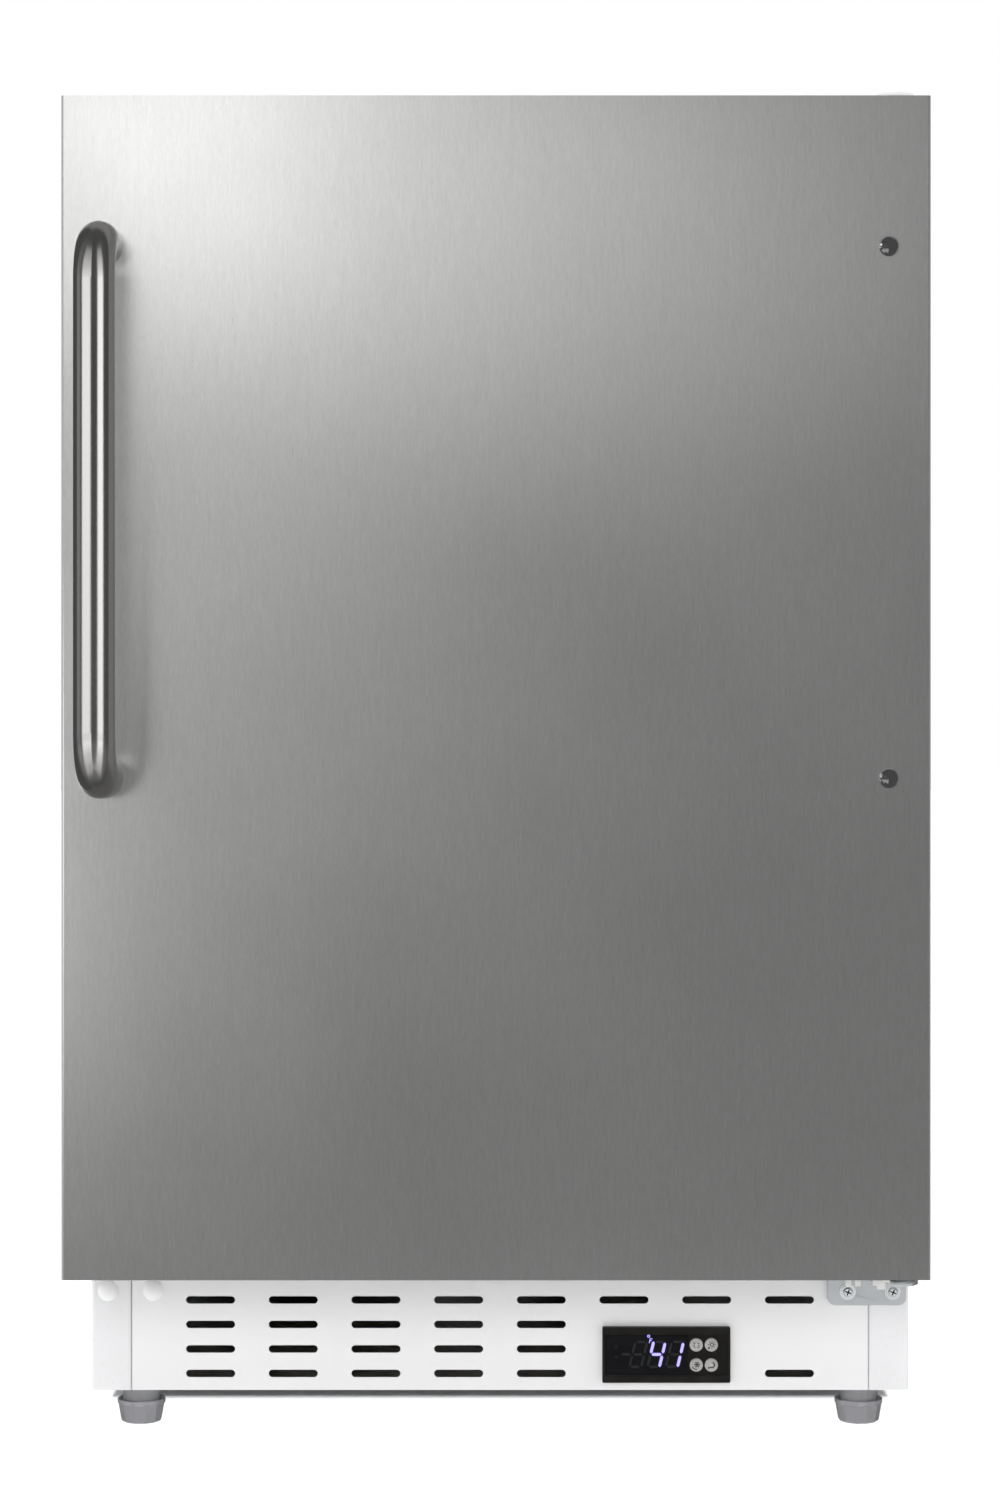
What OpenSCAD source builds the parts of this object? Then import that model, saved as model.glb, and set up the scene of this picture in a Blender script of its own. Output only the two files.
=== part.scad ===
// Undercounter refrigerator with a wrapped steel door, a vented kick plate and a panel controller.
// Front is -Y, up is +Z, the floor is z = 0 and x = 0 is the middle of the door. Millimetres.

/* [Cabinet] */
// Width of the cabinet shell
cab_w = 500; // [480:1:540]
// Depth of the cabinet shell
cab_d = 500; // [480:1:560]
// Height of the cabinet shell
cab_h = 772.6; // [760:0.1:860]
// Clear height under the shell
floor_gap = 24.4; // [22:0.1:27]
// Distance from the middle of the door to the middle of the cabinet
cab_x = 2.35; // [0:0.05:4]
// Thickness of the shell's sheet steel
sheet_t = 1; // [0.8:0.1:1.2]
// Width of the side panels' front flanges
flange_w = 24.6; // [22:0.1:28]
// Thickness of the insulated side walls
wall_t = 42; // [38:1:50]
// Thickness of the insulated roof
roof_t = 45; // [40:1:55]
// Thickness of the insulated rear wall
rear_t = 50; // [45:1:60]
// Height of the cabinet's foam above the floor
foam_z = 101; // [100:1:104]
// Thickness of the insulated floor
floor_t = 41; // [38:1:50]
// Thickness of the moulded liner
liner_t = 1.5; // [1:0.1:2]

/* [Machine bay] */
// Depth of the bay at the back
bay_d = 193.5; // [185:0.5:200]
// Height of the bay's ceiling above the floor
bay_z = 225; // [215:1:235]
// Diameter of the compressor's shell
comp_d = 128; // [110:1:132]
// Diameter of the condenser fan
fan_d = 116; // [90:1:118]

/* [Door] */
// Width of the door
door_w = 511; // [505:1:530]
// Height of the door
door_h = 696; // [680:1:780]
// Height of the door's lower edge above the floor
door_z = 104.5; // [103:0.5:106]
// Thickness of the door without its gasket
door_t = 61; // [55:1:70]
// Thickness of the closed gasket
seal_t = 14; // [12:1:16]
// Distance from the middle of the door to the hinge axis
hinge_x = 239.5; // [239:0.5:241]
// Distance from the door's face to the hinge axis
hinge_in = 39.5; // [38:0.5:42]
// Diameter of the hinge pins
pin_d = 8; // [6:0.5:8]
// Radial clearance of turning pins
run_gap = 0.05; // [0.02:0.01:0.1]

/* [Handle] */
// Diameter of the handle's tube
handle_d = 24; // [20:0.5:26]
// Distance from the door's face to the middle of the bar
handle_out = 40; // [36:1:50]
// Distance from the middle of the door to the bar
handle_x = 230.8; // [225:0.1:235]
// Height of the upper post above the floor
handle_z = 712; // [700:1:730]
// Distance between the two posts
handle_span = 312.5; // [250:0.5:340]
// Bend radius at the middle of the tube
handle_bend = 26; // [24:1:28]

/* [Kick plate] */
// Length of one vent slot
slot_l = 30; // [20:0.5:36]
// Height of one vent slot
slot_h = 4.6; // [4.2:0.1:5]
// Distance between slot columns
slot_dx = 50.6; // [48:0.1:52]
// Distance between slot rows
slot_dz = 15; // [14:0.1:16]
// Height of the top row of slots above the floor
slot_z = 79.5; // [78:0.5:81]

/* [Controller] */
// Width of the bezel
ctl_w = 78.1; // [74:0.1:82]
// Height of the bezel
ctl_h = 34; // [30:0.5:36]
// Distance from the middle of the cabinet to the controller
ctl_x = 101.6; // [100:0.1:103]
// Height of the controller's middle above the floor
ctl_z = 46.5; // [45:0.5:48]
// Travel of a button
button_travel = 0.6; // [0.4:0.1:1]

/* [Shelves] */
// Height of the lowest shelf above the floor
shelf_z = 286; // [275:1:290]
// Distance between shelves
shelf_dz = 134; // [120:1:140]
// Depth of a shelf
shelf_d = 350; // [300:5:355]
// Diameter of a shelf's rim wire
rim_d = 6; // [5:0.5:7]
// Diameter of a shelf's cross wires
wire_d = 3; // [2.5:0.5:4]

/* [Hidden] */
$fn = 48;
eps = 0.01;

// Depths, from the front of the handle to the back of the shell, centred on y = 0
handle_reach = handle_out + handle_d / 2;
total_d = handle_reach + door_t + seal_t + cab_d;
door_y0 = handle_reach - total_d / 2;
door_y1 = door_y0 + door_t;
cab_y0 = door_y1 + seal_t;
cab_y1 = cab_y0 + cab_d;
bay_y = cab_y1 - bay_d;
hinge_y = door_y0 + hinge_in;

// Heights
cab_z0 = floor_gap;
cab_z1 = cab_z0 + cab_h;
door_z1 = door_z + door_h;
room_z0 = foam_z + floor_t;
room_z1 = cab_z1 - roof_t;
step_z = bay_z + floor_t;

// Edges of the shell
lip_d = 7;
lip_h = 25;
rear_flange_w = 14;
seam = 0.3;
front_w = cab_w - 2 * (flange_w + seam);

// Raised middle of the door's inner face, and the gasket's outer edges
bulge_w = 410;
bulge_z = [141.5, 760.5];
bulge_d = 8;
seal_w = 467.3;
seal_z = [112, 790];

// Cold room, inside the liner
room_w = cab_w - 2 * wall_t;
room_y1 = cab_y1 - rear_t;
step_y = bay_y - floor_t;
room_r = 12;
fit_gap = 0.2;

// Hinges
arm_t = 3;
arm_r = 11;
low_arm_r = 13.6;
low_arm_z = 96;
low_arm_t = 3;
low_flange_t = 5.3;
bush_flange_t = 1.4;
bush_len = 16;
bush_r = 6.5;
bush_flange_r = 9.5;
pin_r = pin_d / 2;
up_arm_z = door_z1 + bush_flange_t + 0.2;
low_plate_w = 47.7;
low_plate_x = 202.65;
low_plate_z = 76.8;
low_plate_t = 3;
low_plate_r = 4.4;
screw_x = [212.3, 239.8];
screw_z = 85.2;
screw_r = 2;
up_screw_dy = [16, 34, 52];
cap_t = 3;

// Feet
foot_x = 222.5;
foot_dy = 28;
foot_rim_r = 14.75;
foot_rim_z = 14.2;
foot_neck_r = 11.6;
stud_r = 5;
cup_bore_z = 8;
stud_top = 62;
rear_foot_y = 275;
pan_t = 1.5;
pan_z = cab_z0 + 0.4;

// Controller: the case behind the bezel, the dark panel's recess, the window and the buttons
ctl_y = cab_y0 - 3.4;
ctl_case = [35.3, 58, 14.3];
recess_x = 37.6;
recess_z = 12.4;
window_x = [-36.9, 13.3];
tab_x = [32.2, 37.4];
tab_h = 2.8;
button_dx = 9.2;
button_dz = 12.3;
button_r = 4.05;
button_depth = 5.2;
button_x = ctl_x + 22.9;

// Machine bay
comp_x = -140;
comp_y = 215;
comp_z = 42;
comp_h = 148;
comp_foot_dx = 64;
comp_foot_dy = 48;
comp_foot_t = 3;
cond_x = 62;
cond_w = 56;
cond_y = 140;
cond_d = 150;
cond_z = 32;
cond_h = 150;
fin_t = 0.6;
fan_x = 30;
fan_y = 215;
fan_z = 108;
fan_hub_r = 17;
drier = [150, 262];
drier_z = [50, 146];
drier_neck = 10;
tube_r = 3.2;
tube_bend = 10;
gland_x = 170;
gland_z = 60;
gland_r = 9;

// Evaporator
evap_w = 300;
evap_z = [350, 500];
evap_cover_w = 350;
evap_cover_y = 206;
evap_cover_z = [300, 738];
evap_wall = 2;
evap_fan_z = 640;
evap_fan_d = 92;
probe_z = 600;

// Front of the shelves
shelf_y = -152;

// Lamp
lamp_w = 130;
lamp_d = 46;
lamp_y = -20;
lamp_h = 12;
lens_h = 7;
switch_tilt = 12;
switch_z = room_z1 - lamp_h + 1.5;

// Colours
white_paint = [0.93, 0.93, 0.94];
white_plastic = [0.95, 0.95, 0.95];
steel = [0.62, 0.62, 0.62];
zinc = [0.74, 0.75, 0.76];
black_plastic = [0.07, 0.065, 0.06];
foam_colour = [0.93, 0.87, 0.68];
grey_plastic = [0.52, 0.52, 0.54];
copper = [0.78, 0.45, 0.3];
aluminium = [0.8, 0.81, 0.82];

// ---- Shared shapes ----

function arc(x, y, r, a0, a1, n) = [
    for (i = [0:n])
        let (a = a0 + (a1 - a0) * i / n)
            [x + r * cos(a), y + r * sin(a)]
];

// Outline of a rectangle with rounded corners
function round_rect(x0, y0, x1, y1, r, n = 6) = concat(
    arc(x1 - r, y0 + r, r, -90, 0, n),
    arc(x1 - r, y1 - r, r, 0, 90, n),
    arc(x0 + r, y1 - r, r, 90, 180, n),
    arc(x0 + r, y0 + r, r, 180, 270, n)
);

// Box between two corners
module block(a, b) {
    translate(a)
        cube(b - a);
}

// Rounded plate that stands in the XZ plane, from y to y + t
module wall_plate(x0, z0, x1, z1, y, t, r, n = 6) {
    translate([0, y + t, 0])
        rotate([90, 0, 0])
            linear_extrude(t)
                polygon(round_rect(x0, z0, x1, z1, r, n));
}

// Rounded plate that lies in the XY plane, from z to z + t
module floor_plate(x0, y0, x1, y1, z, t, r, n = 6) {
    translate([0, 0, z])
        linear_extrude(t)
            polygon(round_rect(x0, y0, x1, y1, r, n));
}

// Cylinder along +Y
module rod_y(x, y, z, r, l) {
    translate([x, y, z])
        rotate([-90, 0, 0])
            cylinder(r = r, h = l);
}

// Cylinder along +X
module rod_x(x, y, z, r, l) {
    translate([x, y, z])
        rotate([0, 90, 0])
            cylinder(r = r, h = l);
}

function unit(v) = v / norm(v);

// Turns +Z to the direction d, for d along an axis
module point_along(d) {
    turn = abs(d[2]) > 0.5 ? [d[2] > 0 ? 0 : 180, 0, 0] : [0, 90, atan2(d[1], d[0])];
    rotate(turn)
        children();
}

// Round bar along a path whose legs lie along the axes, bent to the radius bend
module bent_bar(path, r, bend) {
    last = len(path) - 2;
    for (i = [0:last]) {
        d = unit(path[i + 1] - path[i]);
        trim0 = i > 0 ? bend : 0;
        trim1 = i < last ? bend : 0;
        translate(path[i] + d * trim0)
            point_along(d)
                cylinder(r = r, h = norm(path[i + 1] - path[i]) - trim0 - trim1);
        if (i < last) {
            b = unit(path[i + 2] - path[i + 1]);
            c = path[i + 1] - d * bend + b * bend;
            n = cross(d, b);
            multmatrix([
                [-b[0], d[0], n[0], c[0]],
                [-b[1], d[1], n[1], c[1]],
                [-b[2], d[2], n[2], c[2]],
                [0, 0, 0, 1]
            ])
                rotate_extrude(angle = 90)
                    translate([bend, 0])
                        circle(r);
        }
    }
}

// Side profile of the cold room, grown by g, in depth and height
function room_side(g) = concat(
    [[cab_y0 - 5, room_z0 - g]],
    arc(step_y + g - room_r, room_z0 - g + room_r, room_r, -90, 0, 6),
    [[step_y + g, step_z - g]],
    arc(room_y1 + g - room_r, step_z - g + room_r, room_r, -90, 0, 6),
    arc(room_y1 + g - room_r, room_z1 + g - room_r, room_r, 0, 90, 6),
    [[cab_y0 - 5, room_z1 + g]]
);

// The cold room as a solid, grown by g
module room(g) {
    w = room_w + 2 * g;
    translate([cab_x - w / 2, 0, 0])
        rotate([90, 0, 90])
            linear_extrude(w)
                polygon(room_side(g));
}

// ---- Cabinet shell ----

// Plan of a side panel: the wall, a front flange with a turned-in lip, and a short rear flange
module panel_outline() {
    difference() {
        polygon(round_rect(0, cab_y0, 60, cab_y1, 2));
        polygon(round_rect(sheet_t, cab_y0 + sheet_t, 59, cab_y1 - sheet_t, 1));
        translate([flange_w - 2, cab_y0 - 5])
            square([60, 60]);
        translate([rear_flange_w, cab_y0 + 50])
            square([60, cab_d]);
    }
    intersection() {
        difference() {
            polygon(round_rect(flange_w - 8, cab_y0, flange_w, cab_y0 + lip_d + 4, 2));
            polygon(round_rect(flange_w - 7, cab_y0 + sheet_t, flange_w - sheet_t, cab_y0 + lip_d + 5, 1));
        }
        translate([flange_w - 3, cab_y0])
            square([3, lip_d]);
    }
}

module side_panel(side) {
    color(white_paint)
        difference() {
            translate([cab_x + side * cab_w / 2, 0, cab_z0])
                mirror([side > 0 ? 1 : 0, 0, 0])
                    linear_extrude(cab_h - sheet_t)
                        panel_outline();
            rod_y(cab_x + side * screw_x[1], cab_y0 - 1, screw_z, screw_r, 3);
        }
}

module side_panel_left() {
    side_panel(-1);
}

module side_panel_right() {
    side_panel(1);
}

module top_panel() {
    half = cab_w / 2;
    color(white_paint)
        difference() {
            union() {
                floor_plate(cab_x - half, cab_y0, cab_x + half, cab_y1, cab_z1 - sheet_t, sheet_t, 2);
                block([cab_x - front_w / 2, cab_y0, cab_z1 - lip_h],
                    [cab_x + front_w / 2, cab_y0 + sheet_t, cab_z1 - sheet_t]);
            }
            for (dy = up_screw_dy)
                translate([hinge_x, cab_y0 + dy, cab_z1 - 2])
                    cylinder(r = screw_r, h = 3);
        }
}

module rear_panel() {
    half = cab_w / 2 - rear_flange_w - seam;
    color(zinc)
        block([cab_x - half, cab_y1 - sheet_t, bay_z - 2],
            [cab_x + half, cab_y1, cab_z1 - sheet_t - fit_gap]);
}

module insulation() {
    half = cab_w / 2 - sheet_t;
    color(foam_colour)
        difference() {
            floor_plate(cab_x - half, cab_y0 + sheet_t, cab_x + half, cab_y1 - sheet_t, foam_z,
                cab_z1 - sheet_t - foam_z, 1.5);
            for (side = [-1, 1])
                translate([cab_x + side * (cab_w / 2 - flange_w + sheet_t), cab_y0 + lip_d / 2, 0])
                    linear_extrude(cab_h + floor_gap)
                        square([2 * sheet_t + 0.5, lip_d + 0.2], center = true);
            block([cab_x - half - 1, bay_y, foam_z - 1], [cab_x + half + 1, cab_y1, bay_z]);
            room(liner_t);
            for (dy = up_screw_dy)
                translate([hinge_x, cab_y0 + dy, cab_z1 - 10])
                    cylinder(r = screw_r + 0.5, h = 10);
        }
}

module inner_liner() {
    half = front_w / 2;
    ledge = [8, 370, 6];
    color(white_plastic)
        difference() {
            union() {
                intersection() {
                    room(liner_t);
                    block([cab_x - cab_w, cab_y0, 0], [cab_x + cab_w, cab_y1, 2 * cab_h]);
                }
                block([cab_x - half, cab_y0, foam_z],
                    [cab_x + half, cab_y0 + sheet_t, cab_z1 - lip_h - fit_gap]);
            }
            difference() {
                room(0);
                for (k = [0:6])
                    for (side = [-1, 1])
                        let (x = side * (room_w - ledge[0]) / 2, z = (k * shelf_dz - ledge[2]) / 2)
                            translate([cab_x + x, 20, shelf_z + z])
                                cube(ledge + [2 * eps, 0, 0], center = true);
            }
        }
}

module base_pan() {
    half = cab_w / 2 - sheet_t - fit_gap;
    y0 = cab_y0 + 16;
    y1 = cab_y1 - 7;
    color(zinc)
        difference() {
            union() {
                block([cab_x - half, y0, pan_z], [cab_x + half, y1, pan_z + pan_t]);
                for (side = [-1, 1])
                    translate([cab_x + side * (half - pan_t / 2), (y0 + y1) / 2, pan_z + 9])
                        cube([pan_t, y1 - y0, 18], center = true);
                for (side = [-1, 1])
                    translate([cab_x + side * foot_x, cab_y0 + foot_dy, pan_z + pan_t - eps])
                        cylinder(r = 10, h = 9, $fn = 6);
            }
            for (side = [-1, 1])
                translate([cab_x + side * foot_x, cab_y0 + foot_dy, pan_z - 1])
                    cylinder(r = stud_r + run_gap, h = 14);
            for (side = [-1, 1])
                translate([cab_x + side * foot_x, rear_foot_y, pan_z - 1])
                    cylinder(r = 3, h = 4);
            for (dx = [-1, 1])
                for (dy = [-1, 1])
                    translate([comp_x + dx * comp_foot_dx, comp_y + dy * comp_foot_dy, pan_z - 1])
                        cylinder(r = 2.5, h = 4);
        }
}

// ---- Kick plate and controller ----

module slot(x, z) {
    wall_plate(cab_x + x - slot_l / 2, z - slot_h / 2, cab_x + x + slot_l / 2, z + slot_h / 2,
        cab_y0 - 2, 6, slot_h / 2 - eps);
}

// Kick plate with a return at its foot and a stepped catch plate at its top
module kick_grille() {
    half = front_w / 2;
    y = cab_y0 + seam;
    t = 1.2;
    top = foam_z - 1;
    catch_w = 33.6;
    hook = [1, 15.4];
    color(white_paint)
        difference() {
            union() {
                block([cab_x - half, y, cab_z0], [cab_x + half, y + t, top]);
                block([cab_x - half, y + t - eps, cab_z0], [cab_x + half, y + 14, cab_z0 + t]);
                wall_plate(cab_x - catch_w / 2, top - 15.6, cab_x + catch_w / 2, top - 1, y - 0.5, 1, 2);
                wall_plate(cab_x - hook[1], top - 11.6, cab_x - hook[0], top - 1, y - 1, 1, 0.8);
                wall_plate(cab_x + hook[0], top - 11.6, cab_x + hook[1], top - 1, y - 1, 1, 0.8);
            }
            for (col = [0:7])
                for (row = [0:3])
                    if (row == 0 || col < 5 || (col == 7 && row == 3))
                        slot((col - 3.5) * slot_dx, slot_z - row * slot_dz);
            block([cab_x + ctl_x - ctl_case[0] - fit_gap, y - 1, ctl_z - ctl_case[2] - fit_gap],
                [cab_x + ctl_x + ctl_case[0] + fit_gap, y + 5, ctl_z + ctl_case[2] + fit_gap]);
            for (side = [-1, 1])
                rod_y(cab_x + side * screw_x[0], y - 2, screw_z, screw_r, 5);
        }
}

module controller_housing() {
    x = cab_x + ctl_x;
    color(black_plastic)
        difference() {
            union() {
                wall_plate(x - ctl_w / 2, ctl_z - ctl_h / 2, x + ctl_w / 2, ctl_z + ctl_h / 2,
                    ctl_y, 3.6, 0.8);
                block([x - ctl_case[0], cab_y0 + 0.1, ctl_z - ctl_case[2]],
                    [x + ctl_case[0], cab_y0 + ctl_case[1], ctl_z + ctl_case[2]]);
            }
            difference() {
                block([x - recess_x, ctl_y - 1, ctl_z - recess_z],
                    [x + recess_x, ctl_y + 1, ctl_z + recess_z]);
                block([x + tab_x[0], ctl_y + 0.4, ctl_z + recess_z - tab_h],
                    [x + tab_x[1], ctl_y + 2, ctl_z + recess_z]);
            }
            block([x + window_x[0] - 0.1, ctl_y, ctl_z - recess_z + 0.4],
                [x + window_x[1] + 0.1, ctl_y + 3, ctl_z + recess_z - 0.4]);
            for (dx = [0, button_dx])
                for (side = [-1, 1])
                    rod_y(cab_x + button_x - button_dx / 2 + dx, ctl_y - 1, ctl_z + side * button_dz / 2,
                        button_r + run_gap, button_depth + 1.8);
        }
}

module controller_window() {
    x = cab_x + ctl_x;
    z = recess_z - 0.5;
    color([0.02, 0.02, 0.025])
        wall_plate(x + window_x[0], ctl_z - z, x + window_x[1], ctl_z + z, ctl_y + 0.6, 1.6, 0.3);
}

// One slanted bar of a digit, in the XZ plane
module segment(x, z, l, upright) {
    turn = upright ? 90 : 0;
    lean = 13.5;
    half_t = 0.85;
    t = 0.3;
    translate([x + z * tan(lean), 0, z])
        rotate([0, upright ? lean : 0, 0])
            rotate([0, turn, 0])
                translate([0, t / 2, 0])
                    rotate([90, 0, 0])
                        linear_extrude(t)
                            polygon([
                                [-l / 2, 0], [-l / 2 + half_t, half_t], [l / 2 - half_t, half_t],
                                [l / 2, 0], [l / 2 - half_t, -half_t], [-l / 2 + half_t, -half_t]
                            ]);
}

module display_digits() {
    w = 7.2;
    pitch = 11.1;
    color([0.66, 0.63, 1])
        translate([cab_x + ctl_x - 6, ctl_y + 0.45, ctl_z + 0.3]) {
            segment(-w / 2, 4.3, 7.5, true);
            segment(0, 0, w - 1.1, false);
            for (x = [w / 2, w / 2 + pitch]) {
                segment(x, 3.9, 6.7, true);
                segment(x, -4.2, 7.2, true);
            }
            difference() {
                rod_y(-4.8, -0.15, 11.1, 0.9, 0.3);
                rod_y(-4.8, -1, 11.1, 0.45, 2);
            }
        }
}

module round_button(col, row) {
    x = cab_x + button_x + (col - 0.5) * button_dx;
    z = ctl_z + (0.5 - row) * button_dz;
    base = button_depth - button_travel;
    color([0.62, 0.61, 0.6])
        translate([x, ctl_y, z])
            rotate([-90, 0, 0])
                rotate_extrude()
                    polygon([
                        [0, -0.6], [2.6, -0.5], [3.7, -0.2],
                        [button_r, 0.3], [button_r, base], [0, base]
                    ]);
}

module button_set() {
    round_button(0, 0);
}

module button_light() {
    round_button(1, 0);
}

module button_frost() {
    round_button(0, 1);
}

module button_night() {
    round_button(1, 1);
}

// ---- Hinges ----

module lower_hinge_bracket() {
    x0 = low_plate_x;
    x1 = low_plate_x + low_plate_w;
    color(zinc)
        difference() {
            union() {
                wall_plate(x0, low_plate_z, x1, low_arm_z + low_arm_t, cab_y0 - low_plate_t, low_plate_t,
                    low_plate_r);
                block([x0, cab_y0 - low_plate_t, low_arm_z - 6], [x1, cab_y0, low_arm_z + low_arm_t]);
                block([hinge_x - low_arm_r, hinge_y, low_arm_z],
                    [hinge_x + low_arm_r, cab_y0 - low_plate_t + 1, low_arm_z + low_arm_t]);
                translate([hinge_x, hinge_y, low_arm_z])
                    cylinder(r = low_arm_r, h = low_arm_t);
            }
            for (x = screw_x)
                rod_y(cab_x + x, cab_y0 - 5, screw_z, screw_r, 7);
            translate([hinge_x, hinge_y, low_arm_z - 1])
                cylinder(r = pin_r, h = 8);
        }
}

module upper_hinge_bracket() {
    x0 = hinge_x - 10;
    x1 = hinge_x + 10;
    color(zinc)
        difference() {
            union() {
                block([x0, cab_y0 + 4, cab_z1], [x1, cab_y0 + 62, cab_z1 + arm_t]);
                block([x0, cab_y0 + 3, cab_z1], [x1, cab_y0 + 6, up_arm_z + arm_t]);
                block([x0, hinge_y, up_arm_z], [x1, cab_y0 + 5, up_arm_z + arm_t]);
                translate([hinge_x, hinge_y, up_arm_z])
                    cylinder(r = arm_r, h = arm_t);
            }
            for (dy = up_screw_dy)
                translate([hinge_x, cab_y0 + dy, cab_z1 - 1])
                    cylinder(r = screw_r, h = 6);
            translate([hinge_x, hinge_y, up_arm_z - 1])
                cylinder(r = pin_r, h = 6);
        }
}

// Headed pin that rises from z
module headed_pin(z, l, head_t) {
    translate([hinge_x, hinge_y, z - head_t]) {
        cylinder(r = pin_r, h = l + head_t);
        cylinder(r = pin_r + 1.5, h = head_t);
    }
}

module hinge_pins() {
    color(steel) {
        headed_pin(low_arm_z, door_z + bush_len - 2 - low_arm_z, 1.6);
        translate([0, 0, 2 * (up_arm_z + arm_t)])
            mirror([0, 0, 1])
                headed_pin(up_arm_z + arm_t, up_arm_z + arm_t - door_z1 + bush_len - 2, 1.2);
    }
}

// Washer-head cross-recess screw that points along +Z into the work
module cross_screw(l) {
    difference() {
        union() {
            cylinder(r = screw_r, h = l);
            translate([0, 0, -0.8])
                cylinder(r = 5, h = 0.8);
            translate([0, 0, -1.7])
                cylinder(r = 4, h = 1);
            translate([0, 0, -3.6])
                cylinder(r1 = 2.2, r2 = 3.1, h = 2);
        }
        for (a = [0, 90])
            rotate(a)
                translate([-1.9, -0.4, -3.9])
                    cube([3.8, 0.8, 1.7]);
    }
}

module hinge_screws() {
    color(zinc) {
        for (x = screw_x)
            translate([cab_x + x, cab_y0 - low_plate_t, screw_z])
                rotate([-90, 0, 0])
                    rotate(20)
                        cross_screw(12);
        for (dy = up_screw_dy)
            translate([hinge_x, cab_y0 + dy, cab_z1 + arm_t])
                rotate([180, 0, 0])
                    cross_screw(12);
    }
}

module upper_hinge_cover() {
    r = 13;
    z0 = up_arm_z - 1;
    z1 = up_arm_z + arm_t + 3.4;
    y1 = cab_y0 + 68;
    color(white_plastic)
        difference() {
            union() {
                translate([hinge_x, hinge_y, 0]) {
                    translate([0, 0, z0])
                        cylinder(r = r, h = z1 - 1.5 - z0);
                    translate([0, 0, z1 - 1.5])
                        cylinder(r1 = r, r2 = r - 1.5, h = 1.5);
                }
                block([hinge_x - 12.8, hinge_y, z0], [hinge_x + 12.8, y1, z1 - 1.5]);
                block([hinge_x - 11.4, hinge_y, z1 - 2], [hinge_x + 11.4, y1 - 1.5, z1]);
                block([hinge_x - 12.8, cab_y0 + 1, cab_z1], [hinge_x + 12.8, y1, z1 - 3]);
            }
            translate([hinge_x, hinge_y, z0 - 1])
                cylinder(r = r - 1.6, h = z1 - 0.8 - z0);
            block([hinge_x - 11.2, hinge_y, z0 - 8], [hinge_x + 11.2, y1 - 1.6, z1 - 1.8]);
        }
}

// Domed cap on a stem, pointing along +Z into its hole
module domed_cap(r, h, stem_r, stem_l) {
    bow = (r * r + h * h) / (2 * h);
    edge = asin(r / bow);
    rotate_extrude()
        polygon(concat(
            [for (i = [0:6]) [bow * sin(edge * i / 6), bow - h - bow * cos(edge * i / 6)]],
            [[r, 0.4], [stem_r, 0.4], [stem_r, stem_l], [0, stem_l]]
        ));
}

module hole_caps() {
    color(white_plastic)
        for (p = [[-screw_x[1], cab_y0 - 0.4], [-screw_x[0], cab_y0 - 0.1]])
            translate([cab_x + p[0], p[1], screw_z])
                rotate([-90, 0, 0])
                    domed_cap(6.2, 2.4, screw_r, 5);
}

// ---- Machine bay ----

module compressor() {
    r = comp_d / 2;
    mid = comp_h * 0.45;
    color(black_plastic)
        difference() {
            union() {
                translate([comp_x, comp_y, comp_z])
                    rotate_extrude($fn = 64)
                        polygon(concat(
                            [[0, 0], [r * 0.72, 0]],
                            arc(r - 16, 16, 14, -70, 0, 5),
                            [[r - 2, mid], [r + 1.5, mid], [r + 1.5, mid + 3], [r, mid + 3]],
                            arc(r - 34, comp_h - 34, 34, 0, 90, 8),
                            [[0, comp_h]]
                        ));
                floor_plate(comp_x - comp_foot_dx - 9, comp_y - comp_foot_dy - 9, comp_x + comp_foot_dx + 9,
                    comp_y + comp_foot_dy + 9, comp_z - comp_foot_t, comp_foot_t + 1, 8);
            }
            for (dx = [-1, 1])
                for (dy = [-1, 1])
                    translate([comp_x + dx * comp_foot_dx, comp_y + dy * comp_foot_dy, comp_z - 5])
                        cylinder(r = 5, h = 8);
        }
}

module at_compressor_feet() {
    for (dx = [-1, 1])
        for (dy = [-1, 1])
            translate([comp_x + dx * comp_foot_dx, comp_y + dy * comp_foot_dy, pan_z + pan_t])
                children();
}

module compressor_grommets() {
    below = comp_z - comp_foot_t - pan_z - pan_t;
    color([0.12, 0.12, 0.12])
        at_compressor_feet()
            difference() {
                union() {
                    cylinder(r = 8, h = below);
                    cylinder(r = 4.8, h = below + 5.5);
                }
                translate([0, 0, -1])
                    cylinder(r = 2.6, h = below + 8);
            }
}

module compressor_bolts() {
    top = comp_z - comp_foot_t - pan_z - pan_t + 5.5;
    color(zinc)
        at_compressor_feet() {
            translate([0, 0, -pan_t])
                cylinder(r = 2.5, h = top + pan_t + 1);
            translate([0, 0, top])
                cylinder(r = 7.5, h = 1.2);
            translate([0, 0, top + 1.2])
                cylinder(r = 5, h = 4, $fn = 6);
        }
}

module terminal_box() {
    x = comp_x + comp_d / 2 + 2.5;
    color(black_plastic)
        difference() {
            block([x, comp_y - 26, comp_z + 30], [x + 24, comp_y + 26, comp_z + 84]);
            block([x + 22.5, comp_y - 18, comp_z + 38], [x + 26, comp_y + 18, comp_z + 76]);
        }
}

// Rows of tubes along Y through fins, used by the condenser
module condenser() {
    tubes = [0:4];
    pitch = 26;
    fins = 26;
    color(aluminium)
        union() {
            for (i = [0:fins - 1])
                block([cond_x, cond_y + 3 + i * (cond_d - 6) / fins, cond_z],
                    [cond_x + cond_w, cond_y + 3 + i * (cond_d - 6) / fins + fin_t, cond_z + cond_h]);
            for (k = tubes)
                for (side = [-1, 1])
                    rod_y(cond_x + cond_w / 2 + side * 14, cond_y, cond_z + 22 + k * pitch, 4, cond_d);
            for (side = [0, 1])
                block([cond_x - 1, cond_y + side * (cond_d - 1.2), cond_z - 5.7],
                    [cond_x + cond_w + 1, cond_y + side * (cond_d - 1.2) + 1.2, cond_z + cond_h + 3]);
        }
}

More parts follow.
